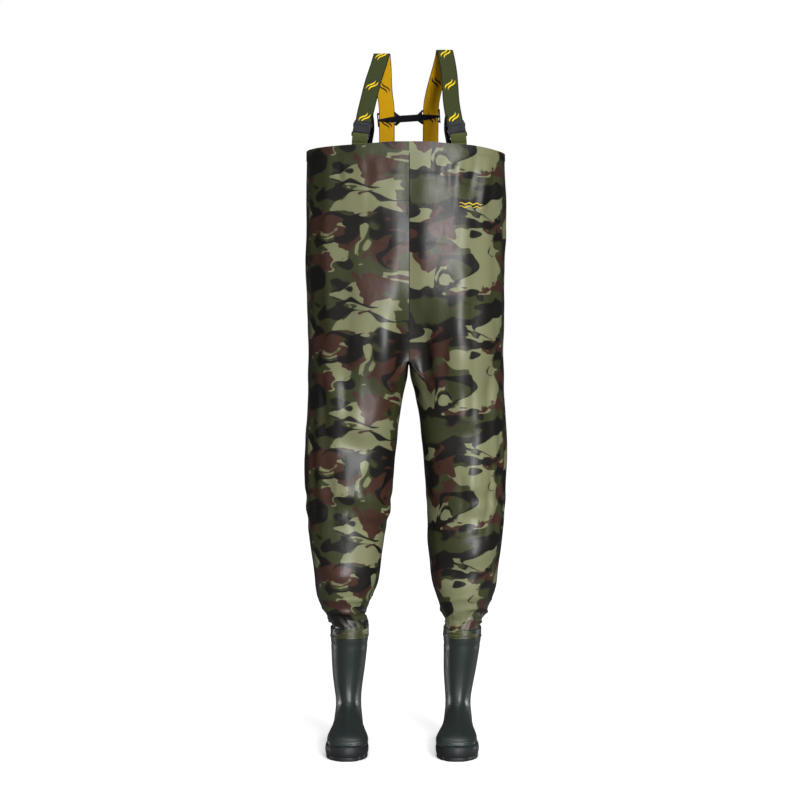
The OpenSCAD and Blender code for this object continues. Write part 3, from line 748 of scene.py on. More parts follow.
def capped(points):
    """The rings' points, with the middle of the last ring added."""
    return np.vstack([points.reshape(-1, 3), points[-1].mean(0)])


def capped_faces(rings, n):
    """Those quads, and a fan from the last ring to the point after it."""
    last = (rings - 1) * n
    return ring_faces(rings, n) + [(last + j, last + (j + 1) % n, rings * n) for j in range(n)]


def boot_relief(co, normals):
    """Moulded relief: toe ridges, toe cap line, heel counter, parting line and a small mould mark."""
    x, y, z = co[:, 0] - FOOT_X, co[:, 1] - GARMENT_Y, co[:, 2]
    toe = smoothstep(-0.135, -0.165, y) * smoothstep(0.022, 0.028, z)
    lift = np.zeros(len(co))
    for level in (0.0335, 0.0405, 0.0475):
        lift += 0.0016 * toe * np.exp(-((z - level) / 0.0019) ** 2)
    # toe cap: a low step along an arc across the instep
    arc = y + 0.142 + 0.45 * x ** 2 / 0.05
    lift += 0.0008 * smoothstep(0.002, -0.002, arc) * smoothstep(0.03, 0.05, z)
    # heel counter and the strip that rises from it up the back of the shaft
    edge = 0.030 - 0.55 * np.clip(z - 0.030, 0, 0.05) + 0.50 * np.clip(z - 0.085, 0, 0.09)
    lift += 0.0012 * smoothstep(-0.0015, 0.0015, y - edge) * smoothstep(0.196, 0.190, z)
    # band above the sole
    lift += 0.0014 * smoothstep(0.0335, 0.0300, z)
    # rolled top and the parting line down the front and back
    lift += 0.0009 * np.exp(-((z - BOOT_TOP_Z + 0.040) / 0.0018) ** 2)
    lift += 0.0005 * np.exp(-(x / 0.0012) ** 2) * smoothstep(0.05, 0.07, z)
    return co + normals * lift[:, None]


def make_boot(side, sign, materials):
    """The boot's moulded shell, its knitted lining, its sole and its insole."""
    rubber, knit, foam, sole = materials
    outer = grid_mesh("outer", boot_skin(0), rubber)
    moulded = boot_relief(vertex_array(outer.data), normal_array(outer.data))
    drop(outer)
    layers = (
        ("boot_shell", "boot_upper", moulded, 0.0026, rubber, "boot_pvc"),
        ("boot_knit", "boot_lining", capped(boot_skin(0.0031)), 0.0043, knit, "boot_lining"),
    )
    for name, node, out, depth, material, slot in layers:
        n = len(out)
        skin = capped_faces((n - 1) // BOOT_POINTS, BOOT_POINTS)
        ahead = [(j + 1) % BOOT_POINTS for j in range(BOOT_POINTS)]
        rim = [(ahead[j], j, j + n, ahead[j] + n) for j in range(BOOT_POINTS)]
        faces = skin + [tuple(v + n for v in f[::-1]) for f in skin] + rim
        if sign < 0:
            faces = [f[::-1] for f in faces]
        verts = np.vstack([out, capped(boot_skin(depth))]) * [sign, 1, 1]
        obj = mesh_object(f"{name}_{side}", verts, faces, [material])
        part_of(obj, f"boot_{side}", [f"{node}_{side}"])
    make_sole(side, sign, sole)
    insole = slab(f"foot_bed_{side}", outline(INSOLE_SIDE),
                  [(0.029, 0.001), (0.0295, 0), (0.0325, 0), (0.033, 0.0012)], sign, foam)
    part_of(insole, f"boot_{side}", [f"insole_{side}"])


def outline(side_table):
    """A closed outline in the sole's own frame, from a table of y and the two half widths."""
    smooth = spline(side_table, 8) / 1000
    inner = np.stack([-smooth[:, 1], smooth[:, 0]], 1)
    outer = np.stack([smooth[:, 2], smooth[:, 0]], 1)[-2:0:-1]
    return np.vstack([inner, outer])


def slab(name, edge, profile, sign, material):
    """A flat piece with that outline. Each profile row is a height and how far the edge moves in there."""
    ahead = np.roll(edge, -1, 0) - np.roll(edge, 1, 0)
    inward = np.stack([-ahead[:, 1], ahead[:, 0]], 1) / np.linalg.norm(ahead, axis=1)[:, None]
    centre = edge.mean(0)
    if np.sum(inward * (centre - edge)) < 0:
        inward = -inward
    n = len(edge)
    verts = []
    for z, inset in profile:
        ring = edge + inward * inset
        verts += [((x + SOLE_X) * sign, y + GARMENT_Y, z) for x, y in ring]
    faces = ring_faces(len(profile), n)
    faces += [tuple(range(n))[::-1], tuple(range((len(profile) - 1) * n, len(profile) * n))]
    obj = mesh_object(name, verts, faces, [material])
    fix_normals(obj)
    flat_caps(obj)
    return obj


def fix_normals(obj):
    bm = bmesh.new()
    bm.from_mesh(obj.data)
    bmesh.ops.recalc_face_normals(bm, faces=bm.faces)
    bm.to_mesh(obj.data)
    bm.free()


def flat_caps(obj, angle=35):
    """Keeps the shading flat across sharp edges."""
    obj.data.set_sharp_from_angle(angle=math.radians(angle))


def block(edge, y_low, y_high, outer):
    """Corner points of one tread block, between two y positions on one side of the lengthwise groove."""
    half = edge[edge[:, 0] > 0] if outer else edge[edge[:, 0] < 0]
    half = half[np.argsort(half[:, 1])]
    ys = np.linspace(y_low, y_high, 9)
    xs = np.interp(ys, half[:, 1], half[:, 0]) * 0.955
    rim = [(x, y) for x, y in zip(xs, ys) if abs(x) > 0.006]
    groove = 0.003 if outer else -0.003
    return rim + [(groove, rim[-1][1]), (groove, rim[0][1])]


def full_block(edge, y_low, y_high):
    """The block across the whole toe or heel end."""
    ys = np.linspace(y_low, y_high, 7)
    runs = []
    for half in (edge[edge[:, 0] < 0], edge[edge[:, 0] > 0]):
        half = half[np.argsort(half[:, 1])]
        runs.append(np.interp(ys, half[:, 1], half[:, 0]) * 0.94)
    return list(zip(runs[0], ys)) + list(zip(runs[1][::-1], ys[::-1]))


def make_sole(side, sign, material):
    """The outsole: a banded slab with separate tread blocks under it."""
    edge = outline(SOLE_SIDE)
    body = slab("sole_body", edge, [(0.0075, 0.0040), (0.0085, 0.0024), (0.0105, 0.0012), (0.0150, 0.0004),
                                    (0.0156, 0.0012), (0.0164, 0.0012), (0.0170, 0.0002), (0.0220, 0.0000),
                                    (0.0270, 0.0008), (0.0310, 0.0022), (0.0328, 0.0034), (0.0332, 0.0046),
                                    (0.0322, 0.0062), (0.0219, 0.0085)], sign, material)
    rows = [(-0.194 + 0.017 * k, -0.183 + 0.017 * k) for k in range(7)] + [(-0.075, -0.055)]
    rows += [(0.017, 0.034), (0.040, 0.051), (0.057, 0.068)]
    parts = [body]
    ends = [full_block(edge, -0.2095, -0.199), full_block(edge, 0.074, 0.0875)]
    for corners in ends + [block(edge, low, high, outer) for low, high in rows for outer in (False, True)]:
        n = len(corners)
        verts = [((x + SOLE_X) * sign, y + GARMENT_Y, z) for z in (0.0, 0.0085) for x, y in corners]
        faces = [tuple(range(n)), tuple(range(n, 2 * n))[::-1]]
        faces += [(j, (j + 1) % n, (j + 1) % n + n, j + n) for j in range(n)]
        part = mesh_object("tread", verts, faces, [material])
        fix_normals(part)
        bevel = part.modifiers.new("bevel", "BEVEL")
        bevel.width = 0.0008
        bevel.segments = 2
        bevel.limit_method = "ANGLE"
        parts.append(evaluated_copy(part, "tread_block"))
        drop(part)
    sole = join(f"moulded_sole_{side}", parts, material)
    part_of(sole, f"boot_{side}", [f"outsole_{side}"])


def join(name, parts, material):
    """One mesh from several, in the order given."""
    bm = bmesh.new()
    for part in parts:
        bm.from_mesh(part.data)
        drop(part)
    obj = baked(name, bm, material)
    flat_caps(obj, 40)
    return obj


# ---- braces ----

def front_point(u, n, v):
    """A point of the front brace plane: u across, n behind the plane, v along the strap."""
    return np.array([u, GARMENT_Y - FRONT_DEPTH + n * math.cos(FRONT_LEAN) + v * math.sin(FRONT_LEAN),
                     FRONT_LOW_Z - n * math.sin(FRONT_LEAN) + v * math.cos(FRONT_LEAN)])


def back_point(u, n, v):
    """A point of the back brace plane: n is outwards."""
    return np.array([u, GARMENT_Y + BACK_DEPTH + n * math.cos(BACK_LEAN) - v * math.sin(BACK_LEAN),
                     BACK_LOW_Z + n * math.sin(BACK_LEAN) + v * math.cos(BACK_LEAN)])


def run_x(v):
    return FRONT_X - v * math.tan(TILT)


def back_run_x(v):
    bend = 0.5 * (np.clip(v - BEND_V, 0, None) + np.clip(v - BEND_V + 0.02, 0, None))
    return BACK_X + bend * (APEX_X - BACK_X) / (BACK_LENGTH - BEND_V + 0.01)


def unit(vectors):
    return vectors / np.linalg.norm(vectors, axis=1)[:, None]


def ribbon(name, centres, outward, materials, width=STRAP_W, thickness=0.0018, across=(1, 0, 0), start=0.0):
    """A woven strap along centre points. Its u runs across and its v along the strap, in metres."""
    centres = np.array(centres, float)
    outward = unit(np.array(outward, float))
    across = unit(np.broadcast_to(np.array(across, float), centres.shape))
    run = start + lengths_along(centres)
    cols = np.array([-1, -0.975, -0.93, -0.5, 0, 0.5, 0.93, 0.975, 1]) * width / 2
    rise = np.array([0.35, 0.8, 1, 1, 1, 1, 1, 0.8, 0.35]) * thickness / 2
    m, n = len(cols), len(centres)
    middle = centres[:, None] + across[:, None] * cols[None, :, None]
    lift = outward[:, None] * rise[None, :, None]
    verts = np.concatenate([(middle + lift).reshape(-1, 3), (middle - lift).reshape(-1, 3)])
    faces, uvs, slots = [], [], []

    def at(i, j, layer=0):
        return layer * n * m + i * m + j

    def face(corners, uv, slot):
        faces.append(corners)
        uvs.append(uv)
        slots.append(slot)

    for i in range(n - 1):
        for j in range(m - 1):
            places = ((i, j), (i, j + 1), (i + 1, j + 1), (i + 1, j))
            uv = [(cols[b], run[a]) for a, b in places]
            face(tuple(at(*place) for place in places), uv, 0)
            turned = (0, 3, 2, 1)
            face(tuple(at(*places[k], 1) for k in turned), [uv[k] for k in turned], 1)
    for i in range(n - 1):
        for j, turn in ((0, False), (m - 1, True)):
            quad = (at(i, j), at(i + 1, j), at(i + 1, j, 1), at(i, j, 1))
            face(quad[::-1] if turn else quad, [(cols[j], run[i])] * 4, 2)
    for i, turn in ((0, True), (n - 1, False)):
        for j in range(m - 1):
            quad = (at(i, j), at(i, j + 1), at(i, j + 1, 1), at(i, j, 1))
            face(quad[::-1] if turn else quad, [(cols[j], run[i])] * 4, 2)
    obj = mesh_object(name, verts, faces, materials)
    mesh = obj.data
    mesh.polygons.foreach_set("material_index", slots)
    layer = mesh.uv_layers.new(name="cloth")
    layer.data.foreach_set("uv", np.array([c for uv in uvs for c in uv], np.float32).ravel())
    fix_normals(obj)
    flat_caps(obj, 50)
    return obj


def strap_centres(side, sign):
    """Centre points of one brace: the front run, the fold over the top and the back run."""
    top_x, top_z = TOP_SHIFT[side]

    def moved(p, share):
        return p + np.array([top_x * share, 0, top_z * share])

    front = []
    for v in np.linspace(STRAP_LOW_V, FRONT_LENGTH - FOLD_R, 30):
        t = v / FRONT_LENGTH
        bow = 4 * t * (1 - t) * smoothstep(0.40, 0.75, t)
        p = front_point(run_x(v) * sign + 0.0028 * bow * sign, -0.0035 * bow, v)
        front.append(moved(p, smoothstep(0.30, 1.0, t)))
    back = []
    for v in np.linspace(BACK_LENGTH - FOLD_R, BACK_START_V, 34):
        t = v / BACK_LENGTH
        back.append(moved(back_point(back_run_x(v) * sign, 0, v), smoothstep(0.55, 1.0, t)))
    crown = moved(np.array([sign * APEX_X, GARMENT_Y, APEX_Z + 0.0035]), 1)
    t = np.linspace(0, 1, 15)[:, None]
    fold = (1 - t) ** 2 * front[-1] + 2 * t * (1 - t) * crown + t ** 2 * back[0]
    return np.array(front), fold, np.array(back)


def outward_of(centres):
    """Outward side along a strap whose width runs along X."""
    ahead = np.gradient(np.asarray(centres), axis=0)
    return np.stack([np.zeros(len(ahead)), -ahead[:, 2], ahead[:, 1]], 1)


def make_brace(side, sign, webbing, olive, dark, thread):
    """One brace: the strap over the shoulder, its loose end, the front tab and the sewn back anchor."""
    front, fold, back = strap_centres(side, sign)
    whole = np.vstack([front, fold[1:], back[1:]])
    outward = outward_of(whole)
    tilted = np.array([math.cos(TILT), sign * math.sin(TILT) * math.sin(FRONT_LEAN),
                       sign * math.sin(TILT) * math.cos(FRONT_LEAN)])
    share = np.linspace(1, 0, len(front))[:, None] ** 0.7
    across = tilted * share + np.array([1.0, 0, 0]) * (1 - share)
    n_front, n_fold = len(front), len(front) + len(fold) - 1
    lengths = lengths_along(whole)

    strap = ribbon(f"brace_front_run_{side}", front, outward[:n_front], webbing, across=across)
    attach(strap, f"brace_front_{side}")
    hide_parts(f"strap_front_{side}")
    top = ribbon(f"brace_top_fold_{side}", fold, outward[n_front - 1:n_fold], webbing,
                 start=lengths[n_front - 1])
    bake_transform(top)
    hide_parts(f"strap_fold_{side}")
    run = ribbon(f"brace_back_run_{side}", back, outward[n_fold - 1:], webbing, start=lengths[n_fold - 1],
                 width=0.0392)
    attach(run, "braces_back")
    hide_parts(f"strap_back_{side}")
    tail = make_loose_end(side, sign, tilted, dark)
    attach(tail, f"brace_front_{side}")
    make_front_tab(side, sign, tilted, olive)
    make_back_anchor(side, sign, olive, thread)


def make_loose_end(side, sign, tilted, dark):
    """Doubled up behind the strap, then turned on edge and hanging into the bib. Its near-black webbing is
    painted shade.
    """
    # each stop: distance along the strap, distance behind it, sideways, and how far it has turned on edge
    stops = [(0.046, 0.0030, 0.000, 0), (0.062, 0.0030, 0.000, 0), (0.077, 0.0042, -0.005, 0.35),
             (0.081, 0.0085, -0.014, 0.9), (0.066, 0.0125, -0.0205, 1), (0.040, 0.0150, -0.0225, 0.85),
             (0.012, 0.0180, -0.0195, 0.7), (-0.015, 0.0230, -0.0165, 0.5), (-0.045, 0.0270, -0.0140, 0.4)]
    stops = spline(stops, 5)
    centres = np.array([front_point((run_x(v) + u) * sign, n, v) for v, n, u, _ in stops])
    on_edge = np.array([0.22, 0.88 * sign, -0.40 * sign])
    widths = np.array([tilted * (1 - t) + on_edge * t for *_, t in stops])
    outward = np.cross(widths, np.gradient(centres, axis=0))
    # The near-black webbing is painted shade of the hollow behind the buckle.
    return ribbon(f"brace_loose_end_{side}", centres, outward, [dark] * 3, across=widths, width=0.036)


def make_front_tab(side, sign, tilted, olive):
    """Sewn inside the hem, up through the slot of the plug and back down on itself."""
    sewn = ((0.0046, 1.402), (0.0042, 1.420), (0.0040, 1.440))
    centres = [np.array([FRONT_X * sign, GARMENT_Y - bib_depth(FRONT_X) + inside, z]) for inside, z in sewn]
    loop = [(-0.0010, 0.0085), (-0.0040, 0.0150), (-0.0062, 0.0195), (-0.0064, 0.0228), (-0.0085, 0.0246),
            (-0.0112, 0.0232), (-0.0114, 0.0195), (-0.0086, 0.0130), (-0.0052, 0.0085), (-0.0040, 0.0060)]
    centres = spline(centres + [front_point(run_x(v) * sign, n, v) for n, v in loop], 5)
    share = smoothstep(1.445, 1.462, centres[:, 2])[:, None]
    upright = np.array([1.0, 0, 0]) * (1 - share) + tilted * share
    widths = upright * share + np.array([1.0, bib_slope(FRONT_X) * sign, 0]) * (1 - share)
    outward = np.cross(widths, np.gradient(centres, axis=0))
    band = ribbon(f"front_tab_band_{side}", centres, outward, [olive] * 3, across=widths, width=0.0375,
                  thickness=0.0017)
    part_of(band, "bib", [f"front_tab_{side}"])


def make_back_anchor(side, sign, olive, thread):
    """The band sewn outside the back of the hem, which the back run folds over."""
    stops = ((0, 1.394), (0, 1.410), (0.2, 1.425), (0.6, 1.440), (0.4, 1.449), (0.1, 1.4535))
    centres = spline([np.array([BACK_X * sign, GARMENT_Y + bib_depth(BACK_X) + 0.0032 + 0.0018 * t, z])
                      for t, z in stops], 4)
    slope = np.array([1.0, -bib_slope(BACK_X) * sign, 0])
    widths = np.broadcast_to(slope, centres.shape)
    outward = -np.cross(widths, np.gradient(centres, axis=0))
    anchor = ribbon(f"back_anchor_{side}", centres, outward, [olive] * 3, across=slope)
    part_of(anchor, "bib", [f"strap_anchor_{side}"])
    box_stitch(f"anchor_stitching_{side}", centres[4], slope, (0, 0, 1), 0.030, 0.022, 0.0014, thread)


def bib_depth(x):
    """How far the bib's section stands out in front of its middle, at that distance across."""
    return BIB_HALF_D * (1 - (abs(x) / BIB_HALF_W) ** BIB_SQUARE) ** (1 / BIB_SQUARE)


def bib_slope(x, reach=0.018):
    return (bib_depth(x - reach) - bib_depth(x + reach)) / (2 * reach)


def box_stitch(name, centre, across, along, width, height, lift, thread):
    """A sewn rectangle with a cross in it: short raised stitches."""
    across, along = Vector(across).normalized(), Vector(along).normalized()
    out = across.cross(along).normalized()
    if out.y < 0:
        out = -out
    centre = Vector(centre) + out * lift
    w, h = width / 2, height / 2
    corners = [(-w, -h), (w, -h), (w, h), (-w, h)]
    lines = [(corners[k], corners[(k + 1) % 4]) for k in range(4)]
    lines += [(corners[0], corners[2]), (corners[1], corners[3])]
    bm = bmesh.new()
    for (x0, y0), (x1, y1) in lines:
        length = math.hypot(x1 - x0, y1 - y0)
        count = max(2, round(length / STITCH_STEP))
        for k in range(count):
            t = (k + 0.5) / count
            place = centre + across * (x0 + (x1 - x0) * t) + along * (y0 + (y1 - y0) * t)
            direction = (across * (x1 - x0) + along * (y1 - y0)).normalized()
            side = out.cross(direction)
            made = bmesh.ops.create_icosphere(bm, subdivisions=1, radius=1)["verts"]
            for v in made:
                v.co = place + direction * v.co.x * 0.0013 + side * v.co.y * 0.00035 + out * v.co.z * 0.0004
    obj = baked(name, bm, thread)
    obj.data.polygons.foreach_set("use_smooth", [True] * len(obj.data.polygons))
    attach(obj, "bib")


# ---- moulded fittings ----

def polished(node, name, bevel, material, turn=None):
    """A copy of a CAD piece with rounded edges, riding on the same body."""
    source = frame["nodes"][node]
    body = source["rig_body"]
    bm = bmesh.new()
    bm.from_mesh(source.data)
    bmesh.ops.remove_doubles(bm, verts=bm.verts, dist=1e-5)
    bmesh.ops.dissolve_limit(bm, angle_limit=math.radians(1), verts=bm.verts, edges=bm.edges)
    bmesh.ops.recalc_face_normals(bm, faces=bm.faces)
    rough = baked(name + "_rough", bm)
    modifier = rough.modifiers.new("bevel", "BEVEL")
    modifier.width = bevel
    modifier.segments = 3
    modifier.limit_method = "ANGLE"
    modifier.angle_limit = math.radians(30)
    modifier.harden_normals = True
    rough.data.polygons.foreach_set("use_smooth", [True] * len(rough.data.polygons))
    obj = evaluated_copy(rough, name)
    drop(rough)
    obj.data.materials.clear()
    obj.data.materials.append(material)
    obj.data.polygons.foreach_set("material_index", [0] * len(obj.data.polygons))
    if turn:
        obj.data.transform(turn)
    part_of(obj, body, [node])


def make_fittings(plastic):
    """The bridge between the back runs, and each buckle's socket, plug and two arms."""
    centre = Vector(back_point(0, -0.001, BRIDGE_V))
    axis = Vector((0, math.cos(BACK_LEAN), math.sin(BACK_LEAN)))
    turn = Matrix.Translation(centre) @ Matrix.Rotation(-BRIDGE_TURN, 4, axis) @ Matrix.Translation(-centre)
    polished("back_bridge", "bridge_fitting", 0.0007, plastic, turn)
    for side in SIDES:
        polished(f"buckle_socket_{side}", f"buckle_female_{side}", 0.0006, plastic)
        polished(f"buckle_plug_{side}", f"buckle_male_{side}", 0.0005, plastic)
        for place in ("outer", "inner"):
            polished(f"latch_{side}_{place}", f"squeeze_arm_{side}_{place}", 0.0005, plastic)


# ---- chest mark ----

def make_chest_mark(cloth, yellow):
    """Three small waves printed on the chest, lying on the fabric."""
    front = np.where((cloth["mid"][:, 1] < GARMENT_Y) & (cloth["mid"][:, 2] > 1.2))[0]
    tree = BVHTree.FromPolygons([tuple(v) for v in cloth["co"]], [cloth["faces"][k] for k in front])
    verts, faces = [], []
    steps = 60
    waves = ((0.118, 0.174, MARK_Z + 0.0030, 0.0034), (0.118, 0.146, MARK_Z - 0.0050, 0.0026),
             (0.150, 0.174, MARK_Z - 0.0050, 0.0026))
    for low, high, z_mid, thick in waves:
        first = len(verts)
        for k in range(steps + 1):
            x = low + (high - low) * k / steps
            z = z_mid + 0.0018 * math.sin(2 * math.pi * (x - 0.118) / 0.0187)
            taper = 0.35 + 0.65 * math.sin(math.pi * k / steps)
            for edge in (-0.5, 0.5):
                height = z + edge * thick * taper
                hit, *_ = tree.ray_cast(Vector((x, -1, height)), Vector((0, 1, 0)))
                verts.append(hit - Vector((0, 0.0003, 0)))
        faces += [(k, k + 2, k + 3, k + 1) for k in range(first, first + 2 * steps, 2)]
    mark = mesh_object("chest_waves", verts, faces, [yellow])
    solid = mark.modifiers.new("solid", "SOLIDIFY")
    solid.thickness = 0.00025
    solid.offset = 0
    made = evaluated_copy(mark, "chest_wave_mark")
    drop(mark)
    part_of(made, "bib")


# ---- materials ----

def add(tree, kind, inputs=(), **settings):
    """A node with its settings made and its inputs set or linked."""
    made = tree.nodes.new("ShaderNode" + kind)
    for key, value in settings.items():
        setattr(made, key, value)
    for key, value in dict(inputs).items():
        if isinstance(value, bpy.types.NodeSocket):
            tree.links.new(value, made.inputs[key])
        else:
            made.inputs[key].default_value = value
    return made


def calc(tree, operation, a, b=0.0, c=0.0):
    return add(tree, "Math", {0: a, 1: b, 2: c}, operation=operation).outputs[0]


def mixed(tree, factor, a, b):
    made = add(tree, "Mix", {0: factor, 6: a, 7: b}, data_type="RGBA")
    return made.outputs[2]


def ramp(tree, value, low, high):
    return add(tree, "MapRange", {0: value, 1: low, 2: high, 3: 0.0, 4: 1.0}, clamp=True).outputs[0]


def noise(tree, vector, scale, detail=2.0, seed=(0, 0, 0), rough=0.5):
    moved = add(tree, "VectorMath", {0: vector, 1: seed}, operation="ADD").outputs[0]
    inputs = {"Vector": moved, "Scale": scale, "Detail": detail, "Roughness": rough}
    return add(tree, "TexNoise", inputs).outputs[0]


def material_of(name, colour, roughness, **more):
    material = bpy.data.materials.new(name)
    material.use_nodes = True
    tree = material.node_tree
    shader = tree.nodes["Principled BSDF"]
    for key, value in {"Base Color": colour, "Roughness": roughness, **more}.items():
        if isinstance(value, tuple) and len(value) == 3:
            value = (*value, 1)
        shader.inputs[key].default_value = value
    return material, tree, shader


def bump(tree, shader, height, strength, distance):
    made = add(tree, "Bump", {"Height": height, "Strength": strength, "Distance": distance})
    tree.links.new(made.outputs[0], shader.inputs["Normal"])


def cloth_coordinates(tree):
    uv = add(tree, "UVMap", uv_map="cloth").outputs[0]
    parts = add(tree, "SeparateXYZ", {0: uv})
    return uv, parts.outputs[0], parts.outputs[1]


def warped(tree, place, scale, reach, seed):
    """Points pushed about by a smooth noise in all directions."""
    moved = add(tree, "VectorMath", {0: place, 1: seed}, operation="ADD").outputs[0]
    push = add(tree, "TexNoise", {"Vector": moved, "Scale": scale, "Detail": 0.6}).outputs["Color"]
    centred = add(tree, "VectorMath", {0: push, 1: (0.5, 0.5, 0.5)}, operation="SUBTRACT").outputs[0]
    push = add(tree, "VectorMath", {0: centred, "Scale": reach}, operation="SCALE").outputs[0]
    return add(tree, "VectorMath", {0: place, 1: push}, operation="ADD").outputs[0]


def camo_material():
    """Printed woodland pattern on PVC: patches stretched sideways, with prongs, blobs and branches."""
    material, tree, shader = material_of("camo_pvc", CAMO["sage"], 0.42, **{"Specular IOR Level": 0.55})
    uv, u, v = cloth_coordinates(tree)
    turn = calc(tree, "MULTIPLY", v, 2 * math.pi / CAMO_REPEAT)
    radius = CAMO_REPEAT / (2 * math.pi)
    place = add(tree, "CombineXYZ", {
        0: calc(tree, "MULTIPLY", u, 0.66),
        1: calc(tree, "MULTIPLY", calc(tree, "COSINE", turn), radius),
        2: calc(tree, "MULTIPLY", calc(tree, "SINE", turn), radius),
    }).outputs[0]
    broad = warped(tree, place, 10.0, 0.095, (3, 1, 7))
    prongs = warped(tree, broad, 44.0, 0.031, (9, 4, 2))

    soft = 0.005
    olive = noise(tree, prongs, 15.0, 1.6, (1.3, 0, 0))
    brown = noise(tree, prongs, 16.5, 1.6, (5.1, 2, 0))
    dark = noise(tree, warped(tree, place, 28.0, 0.032, (2, 8, 3)), 18.0, 1.0, (8.7, 0, 3))
    branch = noise(tree, broad, 14.0, 0.8, (2.9, 6, 1))
    branch_line = calc(tree, "ABSOLUTE", calc(tree, "SUBTRACT", branch, 0.47))
    width = calc(tree, "MULTIPLY_ADD", noise(tree, place, 22.0, 0.0, (7.7, 1, 5)), 0.24, -0.098)

    olive_mask = ramp(tree, olive, 0.487 - soft, 0.487 + soft)
    brown_mask = ramp(tree, brown, 0.562 - soft, 0.562 + soft)
    dark_mask = ramp(tree, dark, 0.525, 0.560)
    branch_mask = ramp(tree, calc(tree, "SUBTRACT", width, branch_line), -0.003, 0.003)

    colour = mixed(tree, olive_mask, (*CAMO["sage"], 1), (*CAMO["olive"], 1))
    colour = mixed(tree, brown_mask, colour, (*CAMO["brown"], 1))
    darkest = calc(tree, "MAXIMUM", calc(tree, "MULTIPLY", dark_mask, olive_mask), branch_mask)
    colour = mixed(tree, darkest, colour, (*CAMO["dark"], 1))

    height = add(tree, "SeparateXYZ", {0: add(tree, "TexCoord").outputs["Object"]}).outputs[2]
    weld = ramp(tree, height, BOOT_TOP_Z + 0.003, BOOT_TOP_Z - 0.001)
    wander = noise(tree, uv, 14, 2.0, (5, 5, 5))
    wander = calc(tree, "MULTIPLY", wander, 7.0)
    lines = calc(tree, "SINE", calc(tree, "MULTIPLY_ADD", height, 2 * math.pi / 0.0062, wander))
    lines = calc(tree, "MULTIPLY", ramp(tree, lines, 0.1, 0.95), weld)
    patchy = ramp(tree, noise(tree, uv, 45, 2.0), 0.35, 0.6)
    glue = calc(tree, "MULTIPLY", calc(tree, "MULTIPLY", lines, patchy), 0.7)
    colour = mixed(tree, glue, colour, (0.16, 0.15, 0.065, 1))
    tree.links.new(colour, shader.inputs["Base Color"])

    grain = noise(tree, uv, 620, 2.0)
    squeezed = add(tree, "CombineXYZ", {0: u, 1: calc(tree, "MULTIPLY", v, 0.6)}).outputs[0]
    crinkle = noise(tree, squeezed, 42, 3.0, (4, 8, 1), 0.55)
    relief = calc(tree, "ADD", calc(tree, "MULTIPLY", grain, 0.10), crinkle)
    bump(tree, shader, calc(tree, "MULTIPLY_ADD", lines, 0.8, relief), 0.30, 0.0030)
    rough = calc(tree, "MULTIPLY_ADD", noise(tree, uv, 30, 3.0, (1, 1, 1)), 0.12, 0.36)
    tree.links.new(rough, shader.inputs["Roughness"])
    return material


def webbing_material(name, ground, mark, edge=None):
    """Woven strap with a repeated mark of two short waves. Edge is the colour of its selvedge."""
    material, tree, shader = material_of(name, ground, 0.85, **{"Specular IOR Level": 0.15})
    _, u, v = cloth_coordinates(tree)
    weave = calc(tree, "SINE", calc(tree, "MULTIPLY", v, 2 * math.pi / 0.0016))
    cross = calc(tree, "SINE", calc(tree, "MULTIPLY", u, 2 * math.pi / 0.0022))
    texture = calc(tree, "MULTIPLY", weave, cross)
    shade = calc(tree, "MULTIPLY_ADD", texture, 0.10, 0.5)
    low, high = (tuple(min(1, k * c) for c in ground) + (1,) for k in (0.82, 1.18))
    colour = mixed(tree, shade, low, high)
    if mark:
        colour = mixed(tree, wave_mark(tree, u, v), colour, (*mark, 1))
    if edge:
        side = ramp(tree, calc(tree, "ABSOLUTE", u), 0.0176, 0.0182)
        colour = mixed(tree, side, colour, (*edge, 1))
    tree.links.new(colour, shader.inputs["Base Color"])
    bump(tree, shader, texture, 0.35, 0.0004)
    return material


def wave_mark(tree, u, v):
    """Where the strap is printed: two slanting waves, thick in the middle, at every MARK_REPEAT."""
    reach, half = 0.0165, 0.0022
    shifted = calc(tree, "FLOORED_MODULO", calc(tree, "ADD", v, 0.012), MARK_REPEAT)
    along = calc(tree, "SUBTRACT", shifted, MARK_REPEAT / 2)
    a = calc(tree, "ADD", calc(tree, "MULTIPLY", along, 0.84), calc(tree, "MULTIPLY", u, 0.54))
    b = calc(tree, "SUBTRACT", calc(tree, "MULTIPLY", u, 0.84), calc(tree, "MULTIPLY", along, 0.54))
    wave = calc(tree, "MULTIPLY", calc(tree, "SINE", calc(tree, "MULTIPLY", a, 2 * math.pi / 0.034)), 0.0030)
    thin = calc(tree, "POWER", calc(tree, "DIVIDE", calc(tree, "ABSOLUTE", a), reach), 2.0)
    thin = calc(tree, "MULTIPLY_ADD", thin, -half, half)
    strokes = []
    for shift in (-0.0040, 0.0040):
        off = calc(tree, "ABSOLUTE", calc(tree, "SUBTRACT", calc(tree, "SUBTRACT", b, wave), shift))
        strokes.append(ramp(tree, calc(tree, "SUBTRACT", thin, off), -0.0002, 0.0002))
    return calc(tree, "MAXIMUM", *strokes)


def rubber_material(name, colour, roughness, coat=0.0, shine=0.5):
    """Moulded rubber or plastic, with a fine grain and slow changes of gloss."""
    material, tree, shader = material_of(name, colour, roughness, **{
        "Coat Weight": coat, "Coat Roughness": 0.35, "Specular IOR Level": shine})
    place = add(tree, "TexCoord").outputs["Object"]
    fine = noise(tree, place, 900, 2.0)
    broad = noise(tree, place, 26, 3.0, (2, 5, 1))
    relief = calc(tree, "ADD", calc(tree, "MULTIPLY", fine, 0.15), calc(tree, "MULTIPLY", broad, 0.6))
    bump(tree, shader, relief, 0.18, 0.002)
    rough = calc(tree, "MULTIPLY_ADD", broad, 0.14, roughness - 0.07)
    tree.links.new(rough, shader.inputs["Roughness"])
    return material


